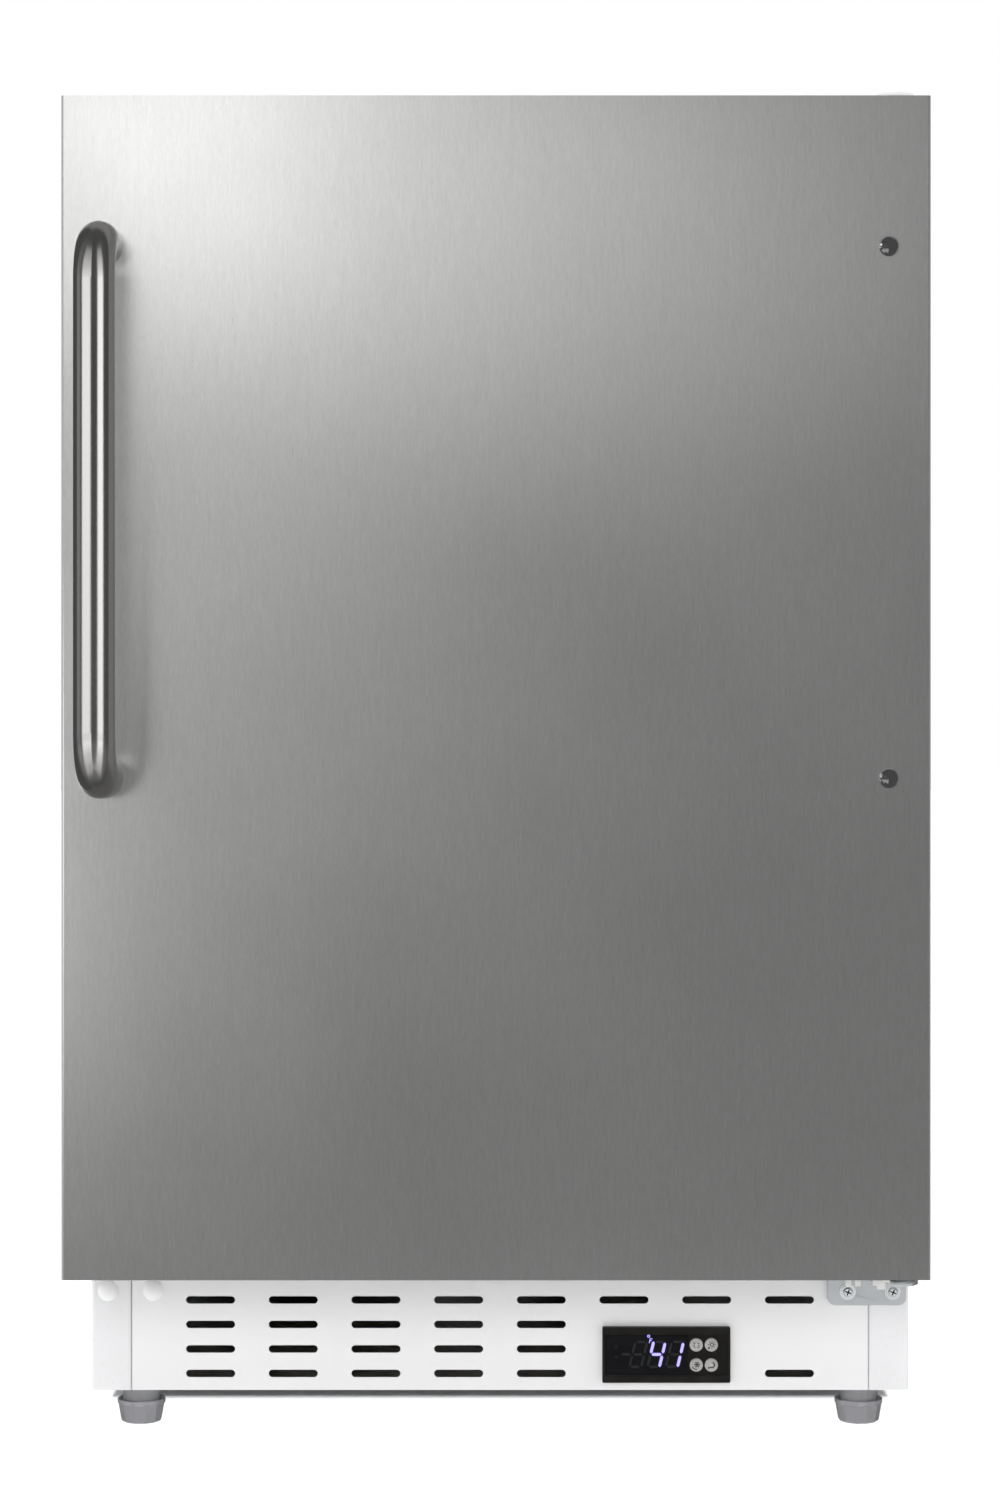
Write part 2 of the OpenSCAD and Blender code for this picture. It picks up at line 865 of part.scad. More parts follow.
module condenser_fan_shroud() {
    x = cond_x - 12;
    t = 1.6;
    y = [cond_y + 1, cond_y + cond_d - 1];
    z = [cond_z - 5, cond_z + cond_h];
    color(black_plastic)
        difference() {
            block([x, y[0], z[0]], [x + 10.6, y[1], z[1]]);
            block([x + t, y[0] + t, z[0] + t], [x + 12, y[1] - t, z[1] - t]);
            rod_x(x - 2, fan_y, fan_z, fan_d / 2 + 2.5, 5);
        }
}

module condenser_fan_motor() {
    color([0.3, 0.3, 0.32])
        union() {
            rod_x(fan_x - 34, fan_y, fan_z, 24, 30);
            rod_x(fan_x - 5, fan_y, fan_z, 8, 4);
            rod_x(fan_x - 2, fan_y, fan_z, 2.5, 16);
            for (a = [45, 135, 225, 315])
                translate([0, fan_y, fan_z])
                    rotate([a, 0, 0])
                        block([fan_x - 12, 20, -3], [fan_x - 10, 74, 3]);
            for (a = [45, 135, 225, 315])
                translate([0, fan_y, fan_z])
                    rotate([a, 0, 0])
                        block([fan_x - 12, 72, -3], [cond_x - 12, 74, 3]);
        }
}

// Fan wheel that turns about +Z, with tilted blades inside its outer radius
module fan_wheel(r, hub_r, h, bore_r, blades) {
    difference() {
        union() {
            cylinder(r = hub_r, h = h);
            intersection() {
                cylinder(r = r, h = h);
                for (i = [0:blades - 1])
                    rotate(i * 360 / blades)
                        translate([0, 0, h / 2])
                            rotate([32, 0, 0])
                                block([hub_r - 2, -hub_r * 1.25, -0.6], [r + 2, hub_r * 1.25, 0.6]);
            }
        }
        translate([0, 0, -1])
            cylinder(r = bore_r, h = h + 2);
    }
}

module condenser_fan_blade() {
    color([0.85, 0.85, 0.86])
        translate([fan_x, fan_y, fan_z])
            rotate([0, 90, 0])
                fan_wheel(fan_d / 2 - 2, fan_hub_r, 13, 2.5 + run_gap, 5);
}

module filter_drier() {
    r = 9;
    color(copper)
        translate([drier[0], drier[1], 0]) {
            translate([0, 0, drier_z[0] + drier_neck])
                cylinder(r = r, h = drier_z[1] - drier_z[0] - 2 * drier_neck);
            translate([0, 0, drier_z[1] - drier_neck])
                cylinder(r1 = r, r2 = tube_r, h = drier_neck);
            translate([0, 0, drier_z[0]])
                cylinder(r1 = tube_r, r2 = r, h = drier_neck);
        }
}

// Discharge line to the condenser, condenser to drier, drier to the wall, and the suction line
module refrigerant_lines() {
    top = comp_z + comp_h;
    out = comp_y + 8;
    cond_end = cond_x + cond_w + 1.4;
    cond_top = 166;
    wall_x = 214;
    stub_x = 20;
    color(copper) {
        bent_bar([[comp_x + stub_x, out, top], [comp_x + stub_x, out, top + 16],
            [140, out, top + 16], [140, out, cond_top], [cond_end, out, cond_top]],
            tube_r, tube_bend);
        bent_bar([[cond_end, drier[1], 36], [drier[0], drier[1], 36], [drier[0], drier[1], drier_z[0]]],
            tube_r, tube_bend);
        bent_bar([[drier[0], drier[1], drier_z[1]], [drier[0], drier[1], cond_top],
            [wall_x, drier[1], cond_top], [wall_x, drier[1], bay_z - 1]],
            tube_r, tube_bend);
        bent_bar([[comp_x - stub_x, out + 2, top], [comp_x - stub_x, out + 2, bay_z - 1]],
            tube_r, tube_bend);
    }
}

module drip_tray() {
    color([0.2, 0.2, 0.21])
        difference() {
            floor_plate(comp_x - 84, comp_y - 75, comp_x + 4, comp_y - 3, 196, 20, 8);
            floor_plate(comp_x - 82, comp_y - 73, comp_x + 2, comp_y - 5, 198, 20, 6);
        }
}

module rear_cover() {
    half = cab_w / 2 - rear_flange_w - seam - fit_gap;
    vent = [24, 5];
    vent_at = [-200, 96];
    vent_step = [36, 34];
    color(zinc)
        difference() {
            block([cab_x - half, cab_y1 - 6, pan_z + pan_t + fit_gap], [cab_x + half, cab_y1 - 5, bay_z]);
            for (i = [0:10])
                for (k = [0:2])
                    let (x = cab_x + vent_at[0] + i * vent_step[0], z = vent_at[1] + k * vent_step[1])
                        wall_plate(x, z, x + vent[0], z + vent[1], cab_y1 - 8, 5, 2);
            rod_y(cab_x + gland_x, cab_y1 - 9, gland_z, gland_r, 8);
        }
}

module cord_gland() {
    color(black_plastic)
        difference() {
            union() {
                rod_y(cab_x + gland_x, cab_y1 - 16, gland_z, gland_r, 14);
                rod_y(cab_x + gland_x, cab_y1 - 5, gland_z, gland_r + 3.5, 3.5);
                rod_y(cab_x + gland_x, cab_y1 - 10, gland_z, gland_r + 2.5, 4);
            }
            rod_y(cab_x + gland_x, cab_y1 - 18, gland_z, 4, 20);
        }
}

// ---- Cold room ----

module evaporator() {
    x0 = cab_x - evap_w / 2;
    y0 = evap_cover_y + 14;
    color(aluminium)
        union() {
            for (i = [0:29])
                block([x0 + i * 10, y0, evap_z[0]], [x0 + i * 10 + fin_t, y0 + 34, evap_z[1]]);
            for (k = [0:3])
                for (dy = [9, 25])
                    rod_x(x0 - 8, y0 + dy, evap_z[0] + 20 + k * 36, 4, evap_w + 6);
            for (x = [x0 - 6, x0 + evap_w - 5])
                block([x, y0 - 1, evap_z[0] - 4], [x + 1.2, room_y1, evap_z[1] + 4]);
        }
}

// The gaps between the rings and spokes of the fan's grille
module evaporator_fan_openings() {
    y = evap_cover_y - 2;
    difference() {
        rod_y(cab_x, y, evap_fan_z, evap_fan_d / 2 + 2, 6);
        for (r = [12, 22, 32, 42])
            difference() {
                rod_y(cab_x, y - 1, evap_fan_z, r + 1, 8);
                rod_y(cab_x, y - 2, evap_fan_z, r - 1, 10);
            }
        for (a = [0:30:150])
            translate([cab_x, 0, evap_fan_z])
                rotate([0, a, 0])
                    block([-60, y - 1, -1], [60, y + 7, 1]);
        rod_y(cab_x, y - 1, evap_fan_z, 6, 8);
    }
}

module evaporator_cover() {
    w = evap_cover_w / 2;
    z0 = evap_cover_z[0];
    z1 = evap_cover_z[1];
    color(white_plastic)
        difference() {
            block([cab_x - w, evap_cover_y, z0], [cab_x + w, room_y1, z1]);
            block([cab_x - w + evap_wall, evap_cover_y + evap_wall, z0 + evap_wall],
                [cab_x + w - evap_wall, room_y1 + 1, z1 - evap_wall]);
            for (i = [0:6])
                for (k = [0:4])
                    let (x = cab_x - 138 + i * 42, z = z0 + 12 + k * 11)
                        wall_plate(x, z, x + 24, z + 5, evap_cover_y - 2, 6, 2.4);
            evaporator_fan_openings();
        }
}

module evaporator_fan_motor() {
    y = evap_cover_y + 22;
    color([0.3, 0.3, 0.32])
        union() {
            rod_y(cab_x, y, evap_fan_z, 20, room_y1 - 3 - y);
            rod_y(cab_x, y - 14, evap_fan_z, 2.5, 15);
            rod_y(cab_x, room_y1 - 4, evap_fan_z, 30, 4);
        }
}

module evaporator_fan_blade() {
    color([0.15, 0.15, 0.16])
        translate([cab_x, evap_cover_y + 7, evap_fan_z])
            rotate([-90, 0, 0])
                fan_wheel(evap_fan_d / 2 - 2, 13, 12, 2.5 + run_gap, 5);
}

module lamp_housing() {
    color(white_plastic)
        difference() {
            floor_plate(cab_x - lamp_w / 2, lamp_y - lamp_d / 2, cab_x + lamp_w / 2, lamp_y + lamp_d / 2,
                room_z1 - lamp_h, lamp_h, 6);
            floor_plate(cab_x - lamp_w / 2 + 4, lamp_y - lamp_d / 2 + 4, cab_x + lamp_w / 2 - 30,
                lamp_y + lamp_d / 2 - 4, room_z1 - lamp_h - 1, lamp_h - 2, 4);
            block([cab_x + lamp_w / 2 - 22, lamp_y - 8, room_z1 - lamp_h - 1],
                [cab_x + lamp_w / 2 - 8, lamp_y + 8, room_z1 - 3]);
        }
}

module lamp_diffuser() {
    color([0.97, 0.97, 0.95])
        floor_plate(cab_x - lamp_w / 2 + 4.2, lamp_y - lamp_d / 2 + 4.2, cab_x + lamp_w / 2 - 30.2,
            lamp_y + lamp_d / 2 - 4.2, room_z1 - lamp_h - 3, lens_h, 4);
}

module lamp_switch() {
    x = cab_x + lamp_w / 2 - 15;
    color([0.9, 0.9, 0.9])
        translate([x, lamp_y, switch_z])
            rotate([switch_tilt, 0, 0])
                union() {
                    block([-6.6, -7, -2.2], [6.6, 7, 1]);
                    rod_x(-6.9, 0, 0, 1.6, 13.8);
                }
}

module temperature_probe() {
    color(steel)
        union() {
            rod_x(cab_x + 120, evap_cover_y - 6, probe_z, 3, 34);
            block([cab_x + 128, evap_cover_y - 9.6, probe_z - 3.6],
                [cab_x + 146, evap_cover_y, probe_z + 3.6]);
        }
}

// ---- Feet ----

// Twelve-sided cup with a rim and a neck, on the floor at the origin
module foot_cup(bore_r) {
    r = foot_rim_r;
    z = foot_rim_z;
    neck = foot_neck_r;
    difference() {
        union() {
            rotate(17)
                rotate_extrude($fn = 12)
                    polygon([[0, 0], [11.4, 0], [12.4, 0.6], [12.9, 2.5], [r - 0.35, z - 3], [0, z - 3]]);
            rotate_extrude()
                polygon([
                    [0, z - 3.4], [r - 0.6, z - 3.4], [r, z - 2.6], [r, z - 0.4], [r - 0.5, z],
                    [r - 0.9, z - 0.2], [neck + 0.4, z - 1.4], [neck, z - 1],
                    [neck, floor_gap], [0, floor_gap]
                ]);
        }
        translate([0, 0, cup_bore_z])
            cylinder(r = bore_r, h = floor_gap);
    }
}

module front_cup(side) {
    color(grey_plastic)
        translate([cab_x + side * foot_x, cab_y0 + foot_dy, 0])
            foot_cup(stud_r + run_gap);
}

module front_stud(side) {
    color(zinc)
        translate([cab_x + side * foot_x, cab_y0 + foot_dy, cup_bore_z]) {
            cylinder(r = stud_r, h = stud_top - cup_bore_z - 1);
            translate([0, 0, stud_top - cup_bore_z - 1])
                cylinder(r1 = stud_r, r2 = stud_r - 1, h = 1);
        }
}

module foot_cup_left() {
    front_cup(-1);
}

module foot_cup_right() {
    front_cup(1);
}

module foot_stud_left() {
    front_stud(-1);
}

module foot_stud_right() {
    front_stud(1);
}

module rear_feet() {
    color(grey_plastic)
        for (side = [-1, 1])
            translate([cab_x + side * foot_x, rear_foot_y, 0]) {
                foot_cup(3);
                translate([0, 0, cup_bore_z])
                    cylinder(r = 3, h = pan_z + pan_t - cup_bore_z);
                translate([0, 0, pan_z + pan_t])
                    cylinder(r = 6, h = 3);
            }
}

// ---- Door ----

module door_skin() {
    half = door_w / 2;
    color(steel)
        difference() {
            translate([0, 0, door_z])
                linear_extrude(door_h)
                    difference() {
                        polygon(round_rect(-half, door_y0, half, door_y1, 1.6));
                        polygon(round_rect(-half + 1, door_y0 + 1, half - 1, door_y1 - 1, 0.6));
                        translate([-half + 12, door_y0 + 20])
                            square([door_w - 24, door_t]);
                    }
            for (z = [handle_z, handle_z - handle_span]) {
                rod_y(-handle_x, door_y0 - 1, z, 2.6, 4);
                rod_y(handle_x, door_y0 - 1, z, 3, 4);
            }
        }
}

module door_cap(z0, boss_z) {
    half = door_w / 2 - 1.2;
    difference() {
        union() {
            block([-half, door_y0 + 1.2, z0], [half, door_y1 - 1.6, z0 + cap_t]);
            translate([hinge_x, hinge_y, boss_z])
                cylinder(r = bush_r + 3, h = bush_len);
        }
        translate([hinge_x, hinge_y, z0 - 20])
            cylinder(r = bush_r, h = 60);
    }
}

module door_top_cap() {
    color(grey_plastic)
        door_cap(door_z1 - cap_t, door_z1 - bush_len);
}

module door_bottom_cap() {
    color(grey_plastic)
        door_cap(door_z, door_z);
}

module door_foam() {
    half = door_w / 2 - 1.3;
    color(foam_colour)
        difference() {
            union() {
                block([-half, door_y0 + 1.3, door_z + cap_t], [half, door_y1 - 1.55, door_z1 - cap_t]);
                block([cab_x - bulge_w / 2 + liner_t, door_y1 - 2, bulge_z[0] + liner_t],
                    [cab_x + bulge_w / 2 - liner_t, door_y1 + bulge_d - liner_t, bulge_z[1] - liner_t]);
            }
            for (z = [door_z, door_z1 - bush_len - 0.5])
                translate([hinge_x, hinge_y, z])
                    cylinder(r = bush_r + 3.1, h = bush_len + 0.5);
            for (z = [handle_z, handle_z - handle_span]) {
                rod_y(-handle_x, door_y0, z, 7, 10);
                rod_y(handle_x, door_y0, z, 5, 9);
            }
        }
}

module door_liner() {
    half = door_w / 2 - 12.2;
    color(white_plastic)
        difference() {
            union() {
                block([-half, door_y1 - 1.5, door_z], [half, door_y1, door_z1]);
                wall_plate(cab_x - bulge_w / 2, bulge_z[0], cab_x + bulge_w / 2, bulge_z[1], door_y1 - 1,
                    bulge_d + 1, 6);
            }
            block([cab_x - bulge_w / 2 + liner_t, door_y1 - 5, bulge_z[0] + liner_t],
                [cab_x + bulge_w / 2 - liner_t, door_y1 + bulge_d - liner_t, bulge_z[1] - liner_t]);
        }
}

// Rectangular ring in the XZ plane, inset from the gasket's outer edge
module seal_ring(y, t, inset, w) {
    x = seal_w / 2 - inset;
    z0 = seal_z[0] + inset;
    z1 = seal_z[1] - inset;
    difference() {
        wall_plate(cab_x - x, z0, cab_x + x, z1, y, t, 3);
        wall_plate(cab_x - x + w, z0 + w, cab_x + x - w, z1 - w, y - 1, t + 2, 2);
    }
}

module door_gasket() {
    color([0.9, 0.9, 0.9])
        union() {
            seal_ring(door_y1, 3, 0, 20);
            seal_ring(door_y1 + 3 - eps, 4, 6, 9);
            seal_ring(door_y1 + 7 - 2 * eps, seal_t - 7 + 2 * eps - 0.02, 3, 14);
        }
}

module handle() {
    y = door_y0 - handle_out;
    z1 = handle_z;
    z0 = handle_z - handle_span;
    color(steel)
        difference() {
            bent_bar(
                [[-handle_x, door_y0, z0], [-handle_x, y, z0], [-handle_x, y, z1], [-handle_x, door_y0, z1]],
                handle_d / 2, handle_bend, $fn = 64
            );
            for (z = [z0, z1])
                rod_y(-handle_x, door_y0 - 14, z, 2.5, 15);
        }
}

module handle_screws() {
    color(zinc)
        for (z = [handle_z, handle_z - handle_span]) {
            rod_y(-handle_x, door_y0 - 13, z, 2.5, 15);
            rod_y(-handle_x, door_y0 + 1, z, 6, 1.2);
            rod_y(-handle_x, door_y0 + 2.1, z, 4.5, 3.4);
        }
}

module plug_buttons() {
    color(zinc)
        for (z = [handle_z, handle_z - handle_span])
            translate([handle_x, door_y0 - 0.4, z])
                rotate([-90, 0, 0])
                    domed_cap(6, 3, 3, 8);
}

// Stepped stop block beside the lower bush, with two short pegs on a strip
module door_stop() {
    y = [-17.5, -14];
    block([-15.2, y[0], -7], [-8, y[1], 0]);
    block([-12.9, y[0], -9.2], [-8, y[1], 0]);
    block([-15.2, y[0], -low_flange_t + 0.1], [-5.4, -5, 0]);
    block([-33, y[0], -2], [-14, y[1], 0]);
    for (x = [-31.4, -26])
        block([x, y[0], -7.4], [x + 3.2, y[1], 0]);
}

module hinge_bushes() {
    color([0.92, 0.92, 0.9]) {
        translate([hinge_x, hinge_y, door_z])
            difference() {
                union() {
                    cylinder(r = bush_r, h = bush_len);
                    translate([0, 0, -low_flange_t])
                        cylinder(r = bush_flange_r, h = low_flange_t);
                    door_stop();
                }
                translate([0, 0, -8])
                    cylinder(r = pin_r + run_gap, h = bush_len + 9);
            }
        translate([hinge_x, hinge_y, door_z1 - bush_len])
            difference() {
                union() {
                    cylinder(r = bush_r, h = bush_len);
                    translate([0, 0, bush_len])
                        cylinder(r = bush_flange_r, h = bush_flange_t);
                }
                translate([0, 0, -1])
                    cylinder(r = pin_r + run_gap, h = bush_len + 9);
            }
    }
}

// ---- Shelves ----

module shelf(level) {
    z = shelf_z + level * shelf_dz + rim_d / 2;
    half = room_w / 2 - 3 - rim_d / 2;
    y0 = shelf_y;
    y1 = y0 + shelf_d;
    wires = 18;
    color([0.93, 0.93, 0.94])
        union() {
            for (y = [y0, y1])
                rod_x(cab_x - half, y, z, rim_d / 2, 2 * half);
            for (x = [cab_x - half, cab_x + half])
                rod_y(x, y0 - 2, z, rim_d / 2 - 0.1, y1 - y0 + 4);
            for (i = [1:wires])
                rod_y(cab_x - half + i * 2 * half / (wires + 1), y0, z + 1, wire_d / 2, y1 - y0);
            rod_x(cab_x - half, (y0 + y1) / 2, z - 0.5, rim_d / 2 - 0.6, 2 * half);
        }
}

module shelf_1() {
    shelf(0);
}

module shelf_2() {
    shelf(1);
}

module shelf_3() {
    shelf(2);
}

side_panel_left();
side_panel_right();
top_panel();
rear_panel();
base_pan();
insulation();
inner_liner();
kick_grille();
controller_housing();
controller_window();
display_digits();
lower_hinge_bracket();
upper_hinge_bracket();
hinge_pins();
hinge_screws();
upper_hinge_cover();
hole_caps();
compressor();
compressor_grommets();
compressor_bolts();
terminal_box();
condenser();
condenser_fan_motor();
condenser_fan_shroud();
filter_drier();
refrigerant_lines();
drip_tray();
evaporator();
evaporator_cover();
evaporator_fan_motor();
lamp_housing();
lamp_diffuser();
temperature_probe();
rear_cover();
cord_gland();
rear_feet();
door_skin();
door_foam();
door_liner();
door_top_cap();
door_bottom_cap();
door_gasket();
handle();
handle_screws();
plug_buttons();
hinge_bushes();
condenser_fan_blade();
evaporator_fan_blade();
lamp_switch();
button_set();
button_light();
button_frost();
button_night();
shelf_1();
shelf_2();
shelf_3();
foot_stud_left();
foot_cup_left();
foot_stud_right();
foot_cup_right();
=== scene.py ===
"""Materials, fine details, light and camera for the undercounter refrigerator.

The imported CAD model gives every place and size. Lengths are in metres. The front is -Y, the floor is z = 0.
"""

import math

import bmesh
import bpy
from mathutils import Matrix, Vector


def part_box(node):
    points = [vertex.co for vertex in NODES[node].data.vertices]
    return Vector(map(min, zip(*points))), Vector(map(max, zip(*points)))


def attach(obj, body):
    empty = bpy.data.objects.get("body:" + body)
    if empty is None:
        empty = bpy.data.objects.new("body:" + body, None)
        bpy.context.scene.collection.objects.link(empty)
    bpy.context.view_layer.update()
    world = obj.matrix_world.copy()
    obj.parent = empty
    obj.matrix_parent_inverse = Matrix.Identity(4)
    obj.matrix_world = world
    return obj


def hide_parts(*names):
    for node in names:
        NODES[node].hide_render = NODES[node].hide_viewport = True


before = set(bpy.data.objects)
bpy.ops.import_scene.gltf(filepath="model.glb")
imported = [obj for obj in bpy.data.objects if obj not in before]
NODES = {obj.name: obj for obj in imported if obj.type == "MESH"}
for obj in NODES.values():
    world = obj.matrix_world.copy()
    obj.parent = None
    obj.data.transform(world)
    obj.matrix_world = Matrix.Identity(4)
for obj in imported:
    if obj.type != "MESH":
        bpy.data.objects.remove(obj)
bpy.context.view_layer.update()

MM = 0.001
cabinet_low, cabinet_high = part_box("top_panel")
CABINET_X = (cabinet_low.x + cabinet_high.x) / 2


# ---- Material building ----


class Shader:
    """A material made of nodes, built from short calls."""

    def __init__(self, name):
        self.material = bpy.data.materials.new(name)
        self.material.use_nodes = True
        self.tree = self.material.node_tree
        self.surface = self.tree.nodes["Principled BSDF"]
        self.place = self.add("ShaderNodeTexCoord").outputs["Object"]

    def add(self, kind, inputs=None, **settings):
        made = self.tree.nodes.new(kind)
        for key, value in settings.items():
            setattr(made, key, value)
        for key, value in (inputs or {}).items():
            self.feed(made.inputs[key], value)
        return made

    def feed(self, socket, value):
        if isinstance(value, bpy.types.NodeSocket):
            self.tree.links.new(value, socket)
        else:
            socket.default_value = value

    def set(self, **inputs):
        for key, value in inputs.items():
            self.feed(self.surface.inputs[key.replace("_", " ")], value)

    def noise(self, scale, detail=3.0, rough=0.55, distortion=0.0):
        """Noise whose scale is given per axis, in features per metre."""
        mapping = self.add("ShaderNodeMapping", {"Vector": self.place, "Scale": scale})
        inputs = {"Vector": mapping.outputs[0], "Scale": 1.0, "Detail": detail}
        inputs.update({"Roughness": rough, "Distortion": distortion})
        return self.add("ShaderNodeTexNoise", inputs).outputs["Fac"]

    def cells(self, scale, output="Distance"):
        return self.add("ShaderNodeTexVoronoi", {"Vector": self.place, "Scale": scale}).outputs[output]

    def ramp(self, value, low, high, start=0.0, end=1.0):
        """Maps value from low..high onto start..end, clamped."""
        made = self.add(
            "ShaderNodeMapRange",
            {"Value": value, "From Min": low, "From Max": high, "To Min": start, "To Max": end},
        )
        return made.outputs["Result"]

    def mix(self, factor, a, b):
        made = self.add("ShaderNodeMix", data_type="RGBA")
        self.feed(made.inputs[0], factor)
        self.feed(made.inputs[6], (*a, 1.0) if isinstance(a, tuple) and len(a) == 3 else a)
        self.feed(made.inputs[7], (*b, 1.0) if isinstance(b, tuple) and len(b) == 3 else b)
        return made.outputs[2]

    def math(self, operation, a, b=0.0):
        made = self.add("ShaderNodeMath", operation=operation)
        self.feed(made.inputs[0], a)
        self.feed(made.inputs[1], b)
        return made.outputs[0]

    def bump(self, height, strength, distance, under=None):
        inputs = {"Height": height, "Strength": strength, "Distance": distance}
        if under is not None:
            inputs["Normal"] = under
        return self.add("ShaderNodeBump", inputs).outputs["Normal"]

    def worn_and_highlit_edges(self):
        """1 on outer edges and corners, broken up by noise. The lighter edges made with it are partly wear
        and partly a painted highlight on rims.
        """
        edge = self.ramp(self.add("ShaderNodeNewGeometry").outputs["Pointiness"], 0.52, 0.58)
        return self.math("MULTIPLY", edge, self.ramp(self.noise((90, 90, 90), 4), 0.4, 0.7))

    def painted_corner_shade(self):
        """1 in inner corners, where shade is painted."""
        return self.ramp(self.add("ShaderNodeNewGeometry").outputs["Pointiness"], 0.48, 0.42)


def shade(color, factor):
    return tuple(c * factor for c in color)


def lighten(color, factor, lift=0.0):
    return tuple(min(1.0, c * factor + lift) for c in color)


def brushed_steel(name, color, rough, grain, spread, turn=0.0, contrast=0.06, bump=0.05, uneven=0.05):
    """Metal with long fine scratches. grain is the scratches' scale per axis."""
    s = Shader(name)
    fine = s.noise(grain, 4, 0.65)
    broad = s.noise(tuple(g * 0.28 for g in grain), 2, 0.5)
    cloud = s.noise((5, 5, 5), 2)
    streaks = s.math("ADD", s.math("MULTIPLY", fine, 0.75), s.math("MULTIPLY", broad, 0.25))
    tone = s.mix(s.ramp(streaks, 0.3, 0.7), shade(color, 1 - contrast), shade(color, 1 + contrast))
    smear = s.ramp(cloud, 0.35, 0.65, -0.02, 0.025)
    roughness = s.math("ADD", s.ramp(streaks, 0.25, 0.75, rough - uneven, rough + uneven), smear)
    tangent = s.add("ShaderNodeTangent", direction_type="RADIAL", axis="Z").outputs[0]
    s.set(Base_Color=tone, Metallic=1.0, Roughness=roughness, Anisotropic=spread, Anisotropic_Rotation=turn)
    s.set(Tangent=tangent, Normal=s.bump(streaks, bump, 0.0002))
    return s.material


def powder_coat(name, color, rough=0.32, peel=420, depth=0.25):
    """Baked paint with a fine orange-peel skin."""
    s = Shader(name)
    skin = s.noise((peel, peel, peel), 2, 0.4)
    cloud = s.noise((7, 7, 7), 3)
    tint = s.mix(s.ramp(cloud, 0.3, 0.7), shade(color, 0.975), color)
    # Painted shade: the paint is darkened in inner corners.
    tint = s.mix(s.math("MULTIPLY", s.painted_corner_shade(), 0.25), tint, shade(color, 0.7))
    s.set(Base_Color=tint, Roughness=s.ramp(skin, 0.3, 0.7, rough - 0.05, rough + 0.07), Coat_Weight=0.25)
    s.set(Coat_Roughness=0.2, Normal=s.bump(skin, depth, 0.0004))
    return s.material


def smooth_paint(name, color, rough=0.35):
    """Pre-painted sheet: smoother than the powder coat, with a trace of rolling marks."""
    s = Shader(name)
    roll = s.noise((14, 14, 700), 2)
    dust = s.noise((900, 900, 900), 2)
    tint = s.mix(s.ramp(s.noise((9, 9, 9), 3), 0.3, 0.7), shade(color, 0.985), color)
    s.set(Base_Color=tint, Roughness=s.ramp(roll, 0.3, 0.7, rough - 0.04, rough + 0.06))
    s.set(Normal=s.bump(dust, 0.06, 0.0002, s.bump(roll, 0.05, 0.0004)))
    return s.material


def moulded(name, color, rough=0.4, grain=1500, depth=0.15, edge_wear_and_highlight=0.0):
    """Injection-moulded plastic with a spark-eroded grain."""
    s = Shader(name)
    skin = s.noise((grain, grain, grain), 3, 0.6)
    tint = s.mix(s.ramp(s.noise((30, 30, 30), 3), 0.3, 0.7), shade(color, 0.97), shade(color, 1.03))
    # Lighter edges: partly wear, partly a painted highlight on rims, as on the buttons.
    if edge_wear_and_highlight:
        tint = s.mix(s.math("MULTIPLY", s.worn_and_highlit_edges(), edge_wear_and_highlight), tint, lighten(color, 1.8, 0.02))
    s.set(Base_Color=tint, Roughness=s.ramp(skin, 0.3, 0.7, rough - 0.06, rough + 0.1))
    s.set(Normal=s.bump(skin, depth, 0.0003))
    return s.material


def zinc_plate(name, color, rough=0.38, spangle=90, metallic=0.85):
    """Zinc-plated or galvanised steel, with a faint spangle and clouded passivation."""
    s = Shader(name)
    flakes = s.cells(spangle)
    crystals = s.cells(spangle, "Color")
    cloud = s.noise((40, 40, 40), 4)
    scratch = s.noise((1800, 1800, 120), 3)
    tint = s.mix(s.ramp(cloud, 0.35, 0.65), shade(color, 0.97), shade(color, 1.02))
    tint = s.mix(s.math("MULTIPLY", crystals, 0.4), tint, (color[0] * 0.84, color[1] * 0.87, color[2] * 0.92))
    # Lighter outer edges: partly wear, partly a painted highlight on rims.
    tint = s.mix(s.math("MULTIPLY", s.worn_and_highlit_edges(), 0.5), tint, lighten(color, 1.4))
    s.set(Base_Color=tint, Metallic=metallic, Roughness=s.ramp(cloud, 0.3, 0.7, rough - 0.08, rough + 0.12))
    s.set(Normal=s.bump(scratch, 0.12, 0.0002, s.bump(flakes, 0.05, 0.0004)))
    return s.material


def polished_metal(name, color, rough=0.08):
    s = Shader(name)
    haze = s.noise((300, 300, 300), 3)
    s.set(Base_Color=s.mix(s.ramp(haze, 0.3, 0.7), shade(color, 0.95), color), Metallic=1.0)
    s.set(Roughness=s.ramp(haze, 0.3, 0.7, rough, rough + 0.06), Normal=s.bump(haze, 0.03, 0.0002))
    return s.material


def rubber(name, color):
    s = Shader(name)
    skin = s.noise((1100, 1100, 1100), 3)
    tint = s.mix(s.ramp(s.noise((60, 60, 60), 3), 0.3, 0.7), shade(color, 0.85), shade(color, 1.1))
    s.set(Base_Color=tint, Roughness=s.ramp(skin, 0.3, 0.7, 0.55, 0.75), Normal=s.bump(skin, 0.2, 0.0003))
    return s.material


def foam(name, color):
    """Expanded polyurethane: closed cells and flow marks."""
    s = Shader(name)
    pores = s.cells(700)
    flow = s.noise((25, 25, 25), 5, 0.6, 1.2)
    tint = s.mix(s.ramp(flow, 0.3, 0.7), shade(color, 0.82), color)
    s.set(Base_Color=tint, Roughness=0.9, Subsurface_Weight=0.1)
    s.set(Normal=s.bump(pores, 0.5, 0.001, s.bump(flow, 0.3, 0.002)))
    return s.material


def dark_glass(name):
    """Smoked window with a clear gloss and faint wipe marks."""
    s = Shader(name)
    wipe = s.noise((40, 40, 220), 4, 0.6, 0.6)
    s.set(Base_Color=s.mix(s.ramp(wipe, 0.4, 0.7), (0.004, 0.004, 0.005), (0.007, 0.007, 0.009)))
    s.set(Roughness=s.ramp(wipe, 0.4, 0.7, 0.05, 0.12), Coat_Weight=0.6, Normal=s.bump(wipe, 0.01, 0.0002))
    return s.material


